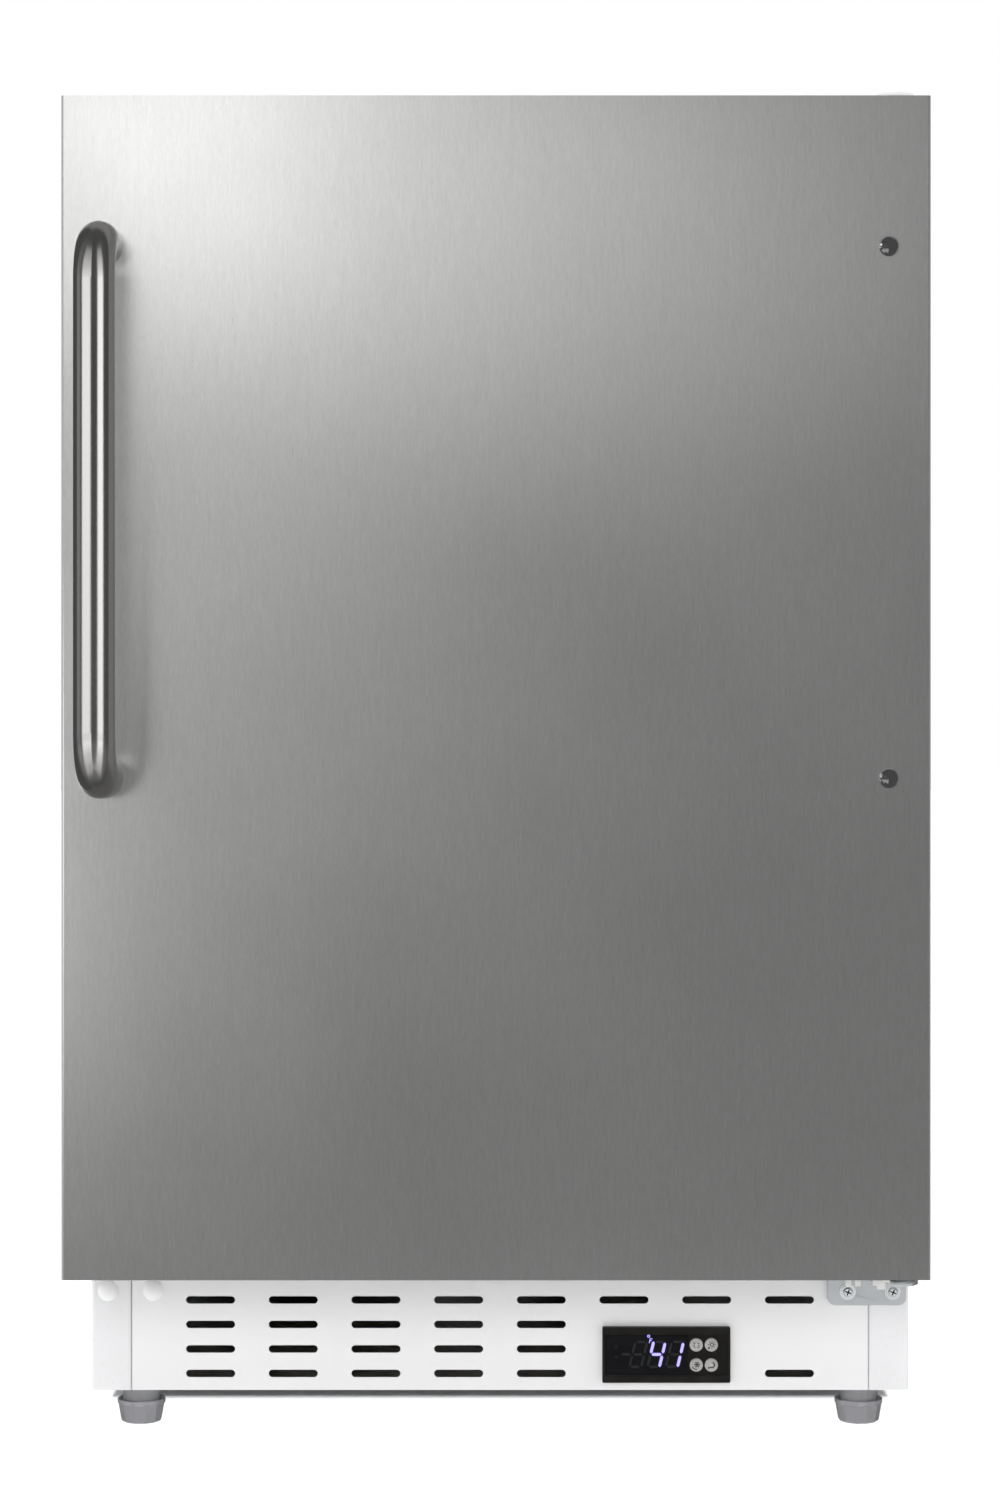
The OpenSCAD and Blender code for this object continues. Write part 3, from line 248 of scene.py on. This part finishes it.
def glow(name, color, strength):
    """Lit plastic: a display segment or a lamp lens."""
    s = Shader(name)
    grain = s.noise((2500, 2500, 2500), 2)
    lit = s.mix(s.ramp(grain, 0.3, 0.7), shade(color, 0.9), color)
    s.set(Base_Color=shade(color, 0.3) + (1.0,), Roughness=0.5)
    s.set(Emission_Color=lit, Emission_Strength=strength)
    return s.material


WHITE = (0.79, 0.79, 0.8)
LINER_WHITE = (0.88, 0.88, 0.875)
STEEL = (0.6, 0.6, 0.595)
ZINC = (0.62, 0.64, 0.65)
BLACK = (0.012, 0.011, 0.01)

MATERIALS = {
    "cabinet": powder_coat("cabinet_paint", WHITE),
    "kick": smooth_paint("kick_plate_paint", (0.81, 0.81, 0.815)),
    "galvanised": zinc_plate("galvanised_sheet", (0.68, 0.7, 0.71), 0.42, 130, 0.75),
    "foam": foam("foam", (0.85, 0.74, 0.5)),
    "liner": moulded("liner_plastic", LINER_WHITE, 0.28, 600, 0.04),
    "black": moulded("black_plastic", BLACK, 0.45, 1600, 0.5, 0.25),
    "window": dark_glass("window_glass"),
    "digits": glow("display_light", (0.42, 0.36, 1.0), 1.35),
    "zinc": zinc_plate("zinc_plate", ZINC, 0.34, 160),
    "bolt": zinc_plate("bright_zinc", (0.8, 0.81, 0.82), 0.16, 700, 1.0),
    # Near-black material for the sheets that paint shade in the hinge screws' recesses.
    "shade": moulded("recess_painted_shade", (0.004, 0.004, 0.004), 0.7, 1500, 0.1),
    "pin": brushed_steel("pin_steel", (0.55, 0.55, 0.54), 0.3, (300, 300, 1800), 0.3),
    "white": moulded("white_plastic", (0.84, 0.84, 0.84), 0.35, 900, 0.08),
    "compressor": powder_coat("compressor_paint", (0.012, 0.012, 0.013), 0.35, 500, 0.3),
    "rubber": rubber("black_rubber", (0.02, 0.02, 0.02)),
    "fins": brushed_steel("fin_aluminium", (0.75, 0.76, 0.77), 0.35, (200, 200, 1200), 0.2),
    "motor": powder_coat("motor_metal", (0.06, 0.06, 0.065), 0.4, 500, 0.2),
    "copper": polished_metal("copper_tube", (0.72, 0.36, 0.2), 0.25),
    "tray": moulded("tray_plastic", (0.04, 0.04, 0.042), 0.5, 900, 0.2),
    "lens": glow("lamp_lens", (0.9, 0.9, 0.86), 0.15),
    "foot": moulded("foot_plastic", (0.205, 0.205, 0.216), 0.36, 1300, 0.12, 0.4),
    "door": brushed_steel("door_steel", STEEL, 0.3, (2300, 2300, 240), 0.5, 0.0, 0.09, 0.012, 0.01),
    "grey": moulded("grey_plastic", (0.12, 0.12, 0.125), 0.45, 1200, 0.2),
    "gasket": rubber("gasket_vinyl", (0.7, 0.7, 0.69)),
    "handle": brushed_steel("handle_steel", (0.62, 0.61, 0.6), 0.22, (500, 500, 2600), 0.6, 0.25, 0.04, 0.03),
    "plug": polished_metal("bright_plug", (0.7, 0.7, 0.7)),
    "nylon": moulded("nylon", (0.8, 0.8, 0.78), 0.45, 1000, 0.08),
    # The buttons' lighter rims are partly a painted highlight.
    "button": moulded("button_grey", (0.4, 0.39, 0.38), 0.34, 1800, 0.15, 0.6),
    "wire": powder_coat("shelf_wire", (0.85, 0.85, 0.85), 0.25, 700, 0.1),
    "ghost": moulded("ghost_segment", (0.02, 0.022, 0.024), 0.3, 2000, 0.1),
    "ink": moulded("button_ink", (0.012, 0.012, 0.014), 0.4, 2000, 0.1),
}

FINISH = {
    "cabinet": ["side_panel_left", "side_panel_right", "top_panel"],
    "kick": ["kick_grille"],
    "galvanised": ["rear_panel", "base_pan", "rear_cover"],
    "foam": ["insulation", "door_foam"],
    "liner": ["inner_liner", "door_liner", "evaporator_cover", "lamp_housing"],
    "black": [
        "controller_housing", "terminal_box", "cord_gland", "condenser_fan_shroud", "evaporator_fan_blade",
    ],
    "window": ["controller_window"],
    "digits": ["display_digits"],
    "zinc": [
        "lower_hinge_bracket", "upper_hinge_bracket", "handle_screws", "compressor_bolts", "foot_stud_left",
        "foot_stud_right",
    ],
    "bolt": ["hinge_screws"],
    "pin": ["hinge_pins", "temperature_probe"],
    "white": ["upper_hinge_cover", "hole_caps", "lamp_switch", "condenser_fan_blade"],
    "compressor": ["compressor"],
    "rubber": ["compressor_grommets"],
    "fins": ["condenser", "evaporator"],
    "motor": ["condenser_fan_motor", "evaporator_fan_motor"],
    "copper": ["filter_drier", "refrigerant_lines"],
    "tray": ["drip_tray"],
    "lens": ["lamp_diffuser"],
    "foot": ["rear_feet", "foot_cup_left", "foot_cup_right"],
    "door": ["door_skin"],
    "grey": ["door_top_cap", "door_bottom_cap"],
    "gasket": ["door_gasket"],
    "handle": ["handle"],
    "plug": ["plug_buttons"],
    "nylon": ["hinge_bushes"],
    "button": ["button_set", "button_light", "button_frost", "button_night"],
    "wire": ["shelf_1", "shelf_2", "shelf_3"],
}
for key, names in FINISH.items():
    for name in names:
        for material_slot in NODES[name].material_slots:
            material_slot.material = MATERIALS[key]


# ---- Fine pieces ----


def new_piece(name, form, body, material, smooth=None):
    """Turns a bmesh into a piece that rides on a body. Faces blend up to the angle smooth, in degrees."""
    bmesh.ops.recalc_face_normals(form, faces=form.faces)
    mesh = bpy.data.meshes.new(name)
    if smooth is not None:
        for face in form.faces:
            face.smooth = True
        limit = math.radians(smooth)
        for edge in form.edges:
            edge.smooth = edge.is_manifold and edge.calc_face_angle(0.0) < limit
    form.to_mesh(mesh)
    form.free()
    piece = bpy.data.objects.new(name, mesh)
    bpy.context.scene.collection.objects.link(piece)
    mesh.materials.append(material)
    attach(piece, body)
    return piece


def add_prism(form, outline, front, back):
    """Solid between two copies of an outline in the XZ plane. front and back give y for a point."""
    near = [form.verts.new((x, front(x, z), z)) for x, z in outline]
    far = [form.verts.new((x, back(x, z), z)) for x, z in outline]
    form.faces.new(near)
    form.faces.new(far[::-1])
    for k in range(len(outline)):
        n = (k + 1) % len(outline)
        form.faces.new((near[n], near[k], far[k], far[n]))


def flat_at(y):
    return lambda x, z: y


def stroke(x0, z0, x1, z1, width):
    """Outline of a straight stroke with pointed-off ends."""
    along = Vector((x1 - x0, z1 - z0)).normalized() * width / 2
    side = Vector((-along.y, along.x))
    a, b = Vector((x0, z0)), Vector((x1, z1))
    points = (a - along * 0.6, a + side, b + side, b + along * 0.6, b - side, a - side)
    return [(q.x, q.y) for q in points]


def disc(x, z, radius, count=14):
    return [
        (x + radius * math.cos(2 * math.pi * k / count), z + radius * math.sin(2 * math.pi * k / count))
        for k in range(count)
    ]


def arc_strokes(x, z, radius, start, end, width, steps=8):
    """A bent line as short strokes, from the angle start to end in degrees."""
    points = [math.radians(start + (end - start) * k / steps) for k in range(steps + 1)]
    places = [(x + radius * math.cos(a), z + radius * math.sin(a)) for a in points]
    return [stroke(*places[k], *places[k + 1], width) for k in range(steps)]


# Display: the unlit segments, two unlit indicators and the lit unit mark

window_low, window_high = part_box("controller_window")
digit_x = window_low.x + 30.9 * MM
digit_z = (window_low.z + window_high.z) / 2 + 0.3 * MM
DIGIT_PITCH = 11.1 * MM
DIGIT_HALF = 3.6 * MM
DIGIT_LEAN = math.tan(math.radians(13.5))
BAR_Z = 7.6 * MM
SEGMENT_WIDTH = 1.5 * MM
PRINT_PROUD = 0.03 * MM
WINDOW_PRINT_DEPTH = 0.05 * MM


def upright(x, z, length):
    """Leaning segment of a digit, with x and z from the middle digit's middle."""
    low, high = z - length / 2, z + length / 2
    foot, head = digit_x + x + low * DIGIT_LEAN, digit_x + x + high * DIGIT_LEAN
    return stroke(foot, digit_z + low, head, digit_z + high, SEGMENT_WIDTH)


def level(x, z, length):
    middle = digit_x + x + z * DIGIT_LEAN
    return stroke(middle - length / 2, digit_z + z, middle + length / 2, digit_z + z, SEGMENT_WIDTH)


def ghost_outlines():
    """Unlit segments of the three digits, the minus sign, and two small star marks at the left."""
    high, low, bar = 3.9 * MM, -3.9 * MM, 4.3 * MM
    tall = 5.6 * MM
    outlines = []
    for column, uprights, levels in (
        (-1, ((-1, high), (1, high), (-1, low), (1, low)), (-1, 0, 1)),
        (0, ((-1, low),), (-1, 1)),
        (1, ((-1, high), (-1, low)), (-1, 0, 1)),
    ):
        x = column * DIGIT_PITCH
        outlines += [upright(x + side * DIGIT_HALF, z, tall) for side, z in uprights]
        outlines += [level(x, place * BAR_Z, bar) for place in levels]
    outlines.append(level(-DIGIT_PITCH - 7.6 * MM, 0, 4.6 * MM))
    for dz, arms in ((4.6 * MM, 4), (-1.6 * MM, 3)):
        x, z = digit_x - 24.6 * MM, digit_z + dz
        for k in range(arms):
            turn = math.pi * k / arms
            dx, dy = 1.1 * MM * math.cos(turn), 1.1 * MM * math.sin(turn)
            outlines.append(stroke(x - dx, z - dy, x + dx, z + dy, 0.3 * MM))
    return outlines


def unit_mark_outlines():
    """The leaning F of the unit mark."""
    x, z = digit_x - 4.4 * MM, digit_z + 8.3 * MM
    lean = 0.6 * MM
    stem = stroke(x, z - 1.3 * MM, x + lean, z + 1.3 * MM, 0.5 * MM)
    arms = [
        stroke(x + lean * k, z + h * MM, x + lean * k + w * MM, z + h * MM, 0.45 * MM)
        for k, h, w in ((1, 1.2, 1.3), (0.5, 0.1, 1.0))
    ]
    return [stem] + arms


def make_window_print(name, outlines, material):
    form = bmesh.new()
    y = window_low.y
    for outline in outlines:
        add_prism(form, outline, flat_at(y - PRINT_PROUD), flat_at(y + WINDOW_PRINT_DEPTH))
    new_piece(name, form, "cabinet", material)


# Button prints: a list, then a lamp, a snowflake and a moon with a small mark each

DOME_RADIUS = 2.6 * MM
DOME_HEIGHT = 0.1 * MM
BUTTON_PRINT_DEPTH = 0.06 * MM


def make_button_print(button, outlines):
    """Ink on a domed button. The outlines are in millimetres from the button's middle."""
    low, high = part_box(button)
    middle_x, middle_z = (low.x + high.x) / 2, (low.z + high.z) / 2

    def face(x, z):
        reach = min(math.hypot(x, z) / DOME_RADIUS, 1.0)
        return low.y + DOME_HEIGHT * reach

    form = bmesh.new()
    for outline in outlines:
        add_prism(
            form,
            [(middle_x + x * MM, middle_z + z * MM) for x, z in outline],
            lambda x, z: face(x - middle_x, z - middle_z) - PRINT_PROUD,
            lambda x, z: face(x - middle_x, z - middle_z) + BUTTON_PRINT_DEPTH,
        )
    new_piece(button + "_print", form, button, MATERIALS["ink"])


def rays(x, z, inner, outer, count, width):
    turns = [2 * math.pi * k / count for k in range(count)]
    ways = [(math.cos(a), math.sin(a)) for a in turns]
    return [stroke(x + inner * c, z + inner * s, x + outer * c, z + outer * s, width) for c, s in ways]


def make_button_prints():
    lines = [stroke(-1.7, k * 1.15, 1.7, k * 1.15, 0.62) for k in (-1, 0, 1)]
    lamp = arc_strokes(0.3, 0.3, 0.95, 0, 360, 0.5, 12)
    lamp += rays(0.3, 0.3, 1.55, 2.2, 8, 0.5) + [disc(-1.6, -1.8, 0.6)]
    flake = rays(0.4, 0.4, 0.2, 1.7, 6, 0.5)
    tips = [math.pi * k / 3 for k in range(6)]
    flake += [disc(0.4 + 1.35 * math.cos(a), 0.4 + 1.35 * math.sin(a), 0.5, 8) for a in tips]
    flake += arc_strokes(0, 0, 2.5, 200, 280, 0.55)
    moon = arc_strokes(0.2, 0.2, 1.6, -130, 70, 0.75, 12) + [disc(-1.6, -1.6, 0.6)]
    prints = {"button_set": lines, "button_light": lamp, "button_frost": flake, "button_night": moon}
    for button, outlines in prints.items():
        make_button_print(button, outlines)


# Gasket: base with a dart, a bellows fold and a magnet tube, mitred at the corners

# The profile is in millimetres: in from the gasket's outer edge, and back from its front
GASKET_PROFILE = (
    (0, 0), (0, 0.8), (1.2, 1.6), (3.2, 2.2), (4.6, 3.4), (3.4, 4.6), (3.2, 5.8), (4.8, 6.8),
    (3.6, 8.0), (3.0, 9.2), (3.0, 12.6), (4.0, 13.9), (16.0, 13.9), (17.0, 12.6), (17.0, 9.2),
    (15.6, 8.2), (11.0, 7.4), (13.0, 6.2),
    (12.4, 4.8), (10.4, 4.0), (13.4, 2.6), (18.6, 1.6), (20, 0.8), (20, 0),
)


def make_gasket():
    low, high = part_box("door_gasket")
    form = bmesh.new()
    rings = []
    for sx, sz in ((-1, -1), (1, -1), (1, 1), (-1, 1)):
        ring = []
        for inset, depth in GASKET_PROFILE:
            x = low.x + inset * MM if sx < 0 else high.x - inset * MM
            z = low.z + inset * MM if sz < 0 else high.z - inset * MM
            ring.append(form.verts.new((x, low.y + depth * MM, z)))
        rings.append(ring)
    count = len(GASKET_PROFILE)
    for k in range(4):
        here, there = rings[k], rings[(k + 1) % 4]
        for i in range(count):
            n = (i + 1) % count
            form.faces.new((here[i], here[n], there[n], there[i]))
    piece = new_piece("gasket_bellows", form, "door", MATERIALS["gasket"])
    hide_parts("door_gasket")


# Screws that hold the rear cover. The head's profile is in millimetres: radius and height

SCREW_HEAD = ((3.4, 0.0), (3.4, 0.5), (2.924, 1.2), (1.87, 1.7), (0.68, 1.9))
SCREW_SIDES = 20
SCREW_INSET = 12 * MM
SCREW_INSET_TOP = 8 * MM


def make_cover_screws():
    low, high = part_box("rear_cover")
    form = bmesh.new()
    columns = (low.x + SCREW_INSET, (low.x + high.x) / 2, high.x - SCREW_INSET)
    rows = (low.z + SCREW_INSET, high.z - SCREW_INSET_TOP)
    for x in columns:
        for z in rows:
            rings = []
            for radius, height in SCREW_HEAD:
                places = disc(x, z, radius * MM, SCREW_SIDES)
                rings.append([form.verts.new((px, high.y + height * MM, pz)) for px, pz in places])
            for a, b in zip(rings, rings[1:]):
                for k in range(SCREW_SIDES):
                    n = (k + 1) % SCREW_SIDES
                    form.faces.new((a[k], a[n], b[n], b[k]))
            form.faces.new(rings[-1])
            form.faces.new(rings[0][::-1])
    new_piece("rear_cover_screws", form, "cabinet", MATERIALS["zinc"], 40)


# Lower hinge screws: places from the cabinet's middle and the floor, turns in degrees

HINGE_SCREWS_X = (212.3 * MM, 239.8 * MM)
HINGE_SCREWS_Z = 85.2 * MM
RECESS_REACH = 1.65 * MM
RECESS_WIDTH = 0.78 * MM
RECESS_TURNS = (-20, 70)
RECESS_FRONT = 2.9 * MM
RECESS_BACK = 2.1 * MM
HINGE_PLATE = 3 * MM


def make_recess_shades():
    """Dark sheets in the cross recesses of the lower hinge's screws: painted shade."""
    plate_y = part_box("side_panel_left")[0].y - HINGE_PLATE
    z = HINGE_SCREWS_Z
    form = bmesh.new()
    for x in (CABINET_X + offset for offset in HINGE_SCREWS_X):
        for turn in RECESS_TURNS:
            dx = RECESS_REACH * math.cos(math.radians(turn))
            dz = RECESS_REACH * math.sin(math.radians(turn))
            outline = stroke(x - dx, z - dz, x + dx, z + dz, RECESS_WIDTH)
            add_prism(form, outline, flat_at(plate_y - RECESS_FRONT), flat_at(plate_y - RECESS_BACK))
    new_piece("hinge_screw_recess_shades", form, "cabinet", MATERIALS["shade"])


make_window_print("display_ghost_segments", ghost_outlines(), MATERIALS["ghost"])
make_window_print("display_unit_mark", unit_mark_outlines(), MATERIALS["digits"])
make_recess_shades()
make_button_prints()
make_gasket()
make_cover_screws()


# ---- Softened edges ----

# Nodes by the width of their rounding in millimetres
EDGES = {
    0.5: ["lower_hinge_bracket", "upper_hinge_bracket", "upper_hinge_cover", "terminal_box", "lamp_housing"],
    0.35: [
        "controller_housing", "hinge_bushes", "lamp_switch", "hinge_screws", "evaporator_cover",
        "door_bottom_cap",
    ],
    0.25: [
        "kick_grille", "base_pan", "rear_cover", "cord_gland", "condenser_fan_shroud", "drip_tray",
        "inner_liner",
    ],
}
WELD_DISTANCE = 0.00001
EDGE_ANGLE = 40


def soften(name, width):
    """Rounds a CAD node's sharp edges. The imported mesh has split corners, so it is welded first."""
    piece = NODES[name]
    weld = piece.modifiers.new("weld", "WELD")
    weld.merge_threshold = WELD_DISTANCE
    bevel = piece.modifiers.new("bevel", "BEVEL")
    bevel.width = width * MM
    bevel.segments = 2
    bevel.limit_method = "ANGLE"
    bevel.angle_limit = math.radians(EDGE_ANGLE)
    bevel.harden_normals = True


for width, names in EDGES.items():
    for name in names:
        soften(name, width)


# ---- Light, floor and camera ----

SENSOR_WIDTH = 36
CAMERA_BACK = 1.8
CAMERA_HEIGHT = 0.416
VIEW_HEIGHT = 0.881
LIGHT_WALL_Y = -1.7
ROOM_GREY = 0.08
FLOOR_HALF = 30


def make_camera():
    data = bpy.data.cameras.new("camera")
    data.sensor_width = SENSOR_WIDTH
    data.lens = SENSOR_WIDTH * CAMERA_BACK / VIEW_HEIGHT
    camera = bpy.data.objects.new("camera", data)
    camera.location = (CABINET_X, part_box("door_skin")[0].y - CAMERA_BACK, CAMERA_HEIGHT)
    camera.rotation_euler = (math.pi / 2, 0, 0)
    bpy.context.scene.collection.objects.link(camera)
    bpy.context.scene.camera = camera


def make_world():
    """White behind the object, and an even grey room for everything that the object reflects."""
    world = bpy.data.worlds.new("studio")
    world.use_nodes = True
    tree = world.node_tree
    room = tree.nodes["Background"]
    room.inputs["Color"].default_value = (ROOM_GREY, ROOM_GREY, ROOM_GREY, 1)
    backdrop = tree.nodes.new("ShaderNodeBackground")
    backdrop.inputs["Color"].default_value = (1, 1, 1, 1)
    seen = tree.nodes.new("ShaderNodeLightPath")
    mix = tree.nodes.new("ShaderNodeMixShader")
    tree.links.new(seen.outputs["Is Camera Ray"], mix.inputs[0])
    tree.links.new(room.outputs[0], mix.inputs[1])
    tree.links.new(backdrop.outputs[0], mix.inputs[2])
    tree.links.new(mix.outputs[0], tree.nodes["World Output"].inputs[0])
    bpy.context.scene.world = world


def make_floor():
    mesh = bpy.data.meshes.new("floor")
    form = bmesh.new()
    bmesh.ops.create_grid(form, x_segments=1, y_segments=1, size=FLOOR_HALF)
    form.to_mesh(mesh)
    form.free()
    floor = bpy.data.objects.new("floor", mesh)
    bpy.context.scene.collection.objects.link(floor)
    paint = Shader("floor_paint")
    grain = paint.noise((60, 60, 60), 3)
    paint.set(Base_Color=paint.mix(grain, (0.88, 0.88, 0.88), (0.9, 0.9, 0.9)), Roughness=0.8)
    floor.data.materials.append(paint.material)
    floor.visible_glossy = False
    return floor


def make_shadow_card():
    """Unseen sheet under the cabinet. The low sun's shadow is its shadow, so it doesn't reach far behind."""
    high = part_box("base_pan")[1]
    side_low, side_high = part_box("side_panel_left")[0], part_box("side_panel_right")[1]
    form = bmesh.new()
    left, right, front, back = side_low.x, side_high.x, side_low.y, high.y
    corners = ((left, front), (right, front), (right, back), (left, back))
    form.faces.new([form.verts.new((x, y, side_low.z)) for x, y in corners])
    mesh = bpy.data.meshes.new("shadow_card")
    form.to_mesh(mesh)
    form.free()
    card = bpy.data.objects.new("shadow_card", mesh)
    bpy.context.scene.collection.objects.link(card)
    mesh.materials.append(MATERIALS["shade"])
    for ray in ("camera", "diffuse", "glossy", "transmission"):
        setattr(card, "visible_" + ray, False)
    return card


def group_of(name, pieces):
    group = bpy.data.collections.new(name)
    for piece in pieces:
        group.objects.link(piece)
    return group


def light_only(light, pieces):
    """Limits what a light falls on."""
    light.light_linking.receiver_collection = group_of(light.name + "_lights", pieces)


def sun(name, direction, strength, angle, pieces):
    data = bpy.data.lights.new(name, "SUN")
    data.energy = strength
    data.angle = math.radians(angle)
    light = bpy.data.objects.new(name, data)
    light.rotation_euler = Vector(direction).to_track_quat("-Z", "Y").to_euler()
    light.visible_glossy = False
    bpy.context.scene.collection.objects.link(light)
    light_only(light, pieces)
    return light


def wall_light(name, x, z, width, height, radiance, past_handle):
    """A panel well in front of the door, seen only in the door's brushed steel.

    The share past_handle of its light isn't stopped by the handle, which makes the handle's shadow faint.
    """
    place, target = (x, LIGHT_WALL_Y, z), (x, 0, z)
    if past_handle < 1:
        panel(name, place, target, (width, height), radiance * (1 - past_handle), DOOR_STEEL)
    if past_handle > 0:
        through = panel(name + "_through", place, target, (width, height), radiance * past_handle, DOOR_STEEL)
        through.light_linking.blocker_collection = NO_HANDLE


def panel(name, place, target, size, radiance, pieces):
    """Rectangular light of an even radiance, seen only in the reflections of some pieces."""
    data = bpy.data.lights.new(name, "AREA")
    data.shape = "RECTANGLE"
    data.size, data.size_y = size
    data.energy = radiance * math.pi * size[0] * size[1]
    light = bpy.data.objects.new(name, data)
    light.location = place
    light.rotation_euler = (Vector(target) - Vector(place)).to_track_quat("-Z", "Y").to_euler()
    light.visible_diffuse = False
    bpy.context.scene.collection.objects.link(light)
    light_only(light, pieces)
    return light


STRIP_BACK = 1.2
# Steps of an upright light: heights it goes from and to, and share of its radiance
STRIP_STEPS = ((0.05, 0.35, 0.5), (0.35, 1.0, 1.0), (1.0, 1.25, 0.6), (1.25, 1.7, 0.5), (1.7, 2.6, 0.3))
# Panels that carry the band around the lower bend: elevation, distance and share
STRIP_FEET = ((-18, 0.5, 0.75), (-38, 0.38, 0.5), (-58, 0.28, 0.3))
FOOT_HEIGHT = 0.36


def strip_beside(name, azimuth, spread, radiance):
    """Upright light that shows as a band along the handle. Angles are in degrees, seen from the bar."""
    bar_low, bar_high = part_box("handle")
    turn = math.radians(azimuth)
    width = 2 * STRIP_BACK * math.tan(math.radians(spread / 2))
    for low, high, share in STRIP_STEPS:
        bar = Vector(((bar_low.x + bar_high.x) / 2, bar_low.y, (low + high) / 2))
        place = bar + Vector((math.sin(turn), -math.cos(turn), 0)) * STRIP_BACK
        panel(name, place, bar, (width, high - low), radiance * share, HANDLE_METAL)
    bend = Vector(((bar_low.x + bar_high.x) / 2, bar_low.y, bar_low.z))
    for elevation, back, share in STRIP_FEET:
        tilt = math.radians(elevation)
        reach = math.cos(tilt)
        toward = Vector((math.sin(turn) * reach, -math.cos(turn) * reach, math.sin(tilt)))
        size = (width * back / STRIP_BACK, back * FOOT_HEIGHT)
        panel(name + "_foot", bend + toward * back, bend, size, radiance * share, [NODES["handle"]])


PIECES = [piece for piece in bpy.context.scene.objects if piece.type == "MESH"]
DOOR_STEEL = [NODES["door_skin"]]
NO_HANDLE = group_of("all_but_the_handle", [piece for piece in PIECES if piece is not NODES["handle"]])
HINGE_NAMES = ("lower_hinge_bracket", "hinge_screws", "hinge_pins", "upper_hinge_bracket")
HINGE_METAL = [NODES[name] for name in HINGE_NAMES]
HANDLE_METAL = [NODES["handle"]] + HINGE_METAL
PLUGS = [NODES["plug_buttons"]]
GALVANISED = [NODES[name] for name in FINISH["galvanised"]]
FOOT_NAMES = ("foot_cup_left", "foot_cup_right", "foot_stud_left", "foot_stud_right")
FEET = [NODES[name] for name in FOOT_NAMES]
NOT_FEET = [piece for piece in PIECES if piece not in FEET]
NO_FEET = group_of("all_but_the_feet", NOT_FEET)

make_camera()
make_world()
floor = make_floor()
wall_light("wall_upper_left", -0.55, 1.15, 0.7, 0.5, 1.92, 0)
wall_light("wall_upper_right", 0, 1, 0.6, 0.4, 0.6, 1)
wall_light("wall_side", -1.05, 0.3, 0.8, 0.5, 2.5, 0)
wall_light("wall_middle", -0.35, 0.7, 0.4, 0.4, 0.53, 0.3)
room_front = panel("room_front", (0, -3.5, 1), (0, 0, 1), (8, 6), 0.155, DOOR_STEEL)
room_front.light_linking.blocker_collection = NO_HANDLE
panel("room_left", (-3.5, 0, 1), (0, 0, 1), (8, 5), 0.6, DOOR_STEEL)
panel("room_right", (3.5, 0, 1), (0, 0, 1), (8, 5), 0.3, DOOR_STEEL)
panel("floor_near_door", (0, -0.53, 0.002), (0, -0.53, 1), (2, 0.35), 0.12, DOOR_STEEL)
panel("room_ceiling", (0, -1.2, 2.6), (0, -1.2, 0), (4, 2.4), 0.35, DOOR_STEEL)
panel("room_back", (0, 3.5, 1), (0, 0, 1), (8, 5), 0.5, GALVANISED)
strip_beside("strip_left", -37, 50, 1.25)
strip_beside("strip_right", 43, 32, 1.45)
strip_beside("strip_far_left", -88, 26, 0.2)
panel("floor_glow", (0, -1.3, 0.002), (0, -1.3, 1), (3, 2), 0.08, HANDLE_METAL)
panel("hinge_floor", (0.4, -1, 0.002), (0.4, -1, 1), (1.4, 1.6), 0.65, HINGE_METAL)
panel("plug_left", (-1.25, -0.5, 0.9), (0.23, -0.26, 0.6), (0.4, 0.9), 2.2, PLUGS)
panel("plug_front", (-0.75, -1.3, 0.7), (0.23, -0.26, 0.6), (0.2, 0.5), 2.2, PLUGS)
panel("plug_floor", (-0.6, -1.2, 0.002), (-0.6, -1.2, 1), (1.6, 1.2), 0.3, PLUGS)
low_sun = sun("low_sun", (0, 1, -0.255), 14.3, 2.2, [floor])
low_sun.light_linking.blocker_collection = group_of("low_sun_blockers", [make_shadow_card()])
sun("front_sun", (0.15, 1, -0.36), 1.4, 32, PIECES)
sun("feet_sun", (0.05, 1, -0.15), 1.1, 10, FEET)
sun("top_sun", (0.1, 0.15, -1), 1.4, 40, PIECES)
sun("back_sun", (-0.25, -1, -0.5), 1.4, 60, PIECES)
sun("left_sun", (1, 0.1, -0.35), 1.0, 60, NOT_FEET)
sun("right_sun", (-1, 0.1, -0.35), 0.8, 60, NOT_FEET)
floor_back_sun = sun("floor_back_sun", (0, -1, -0.6), 3.0, 40, [floor])
floor_back_sun.light_linking.blocker_collection = NO_FEET

bpy.context.scene.view_settings.view_transform = "Standard"
bpy.context.scene.view_settings.look = "None"
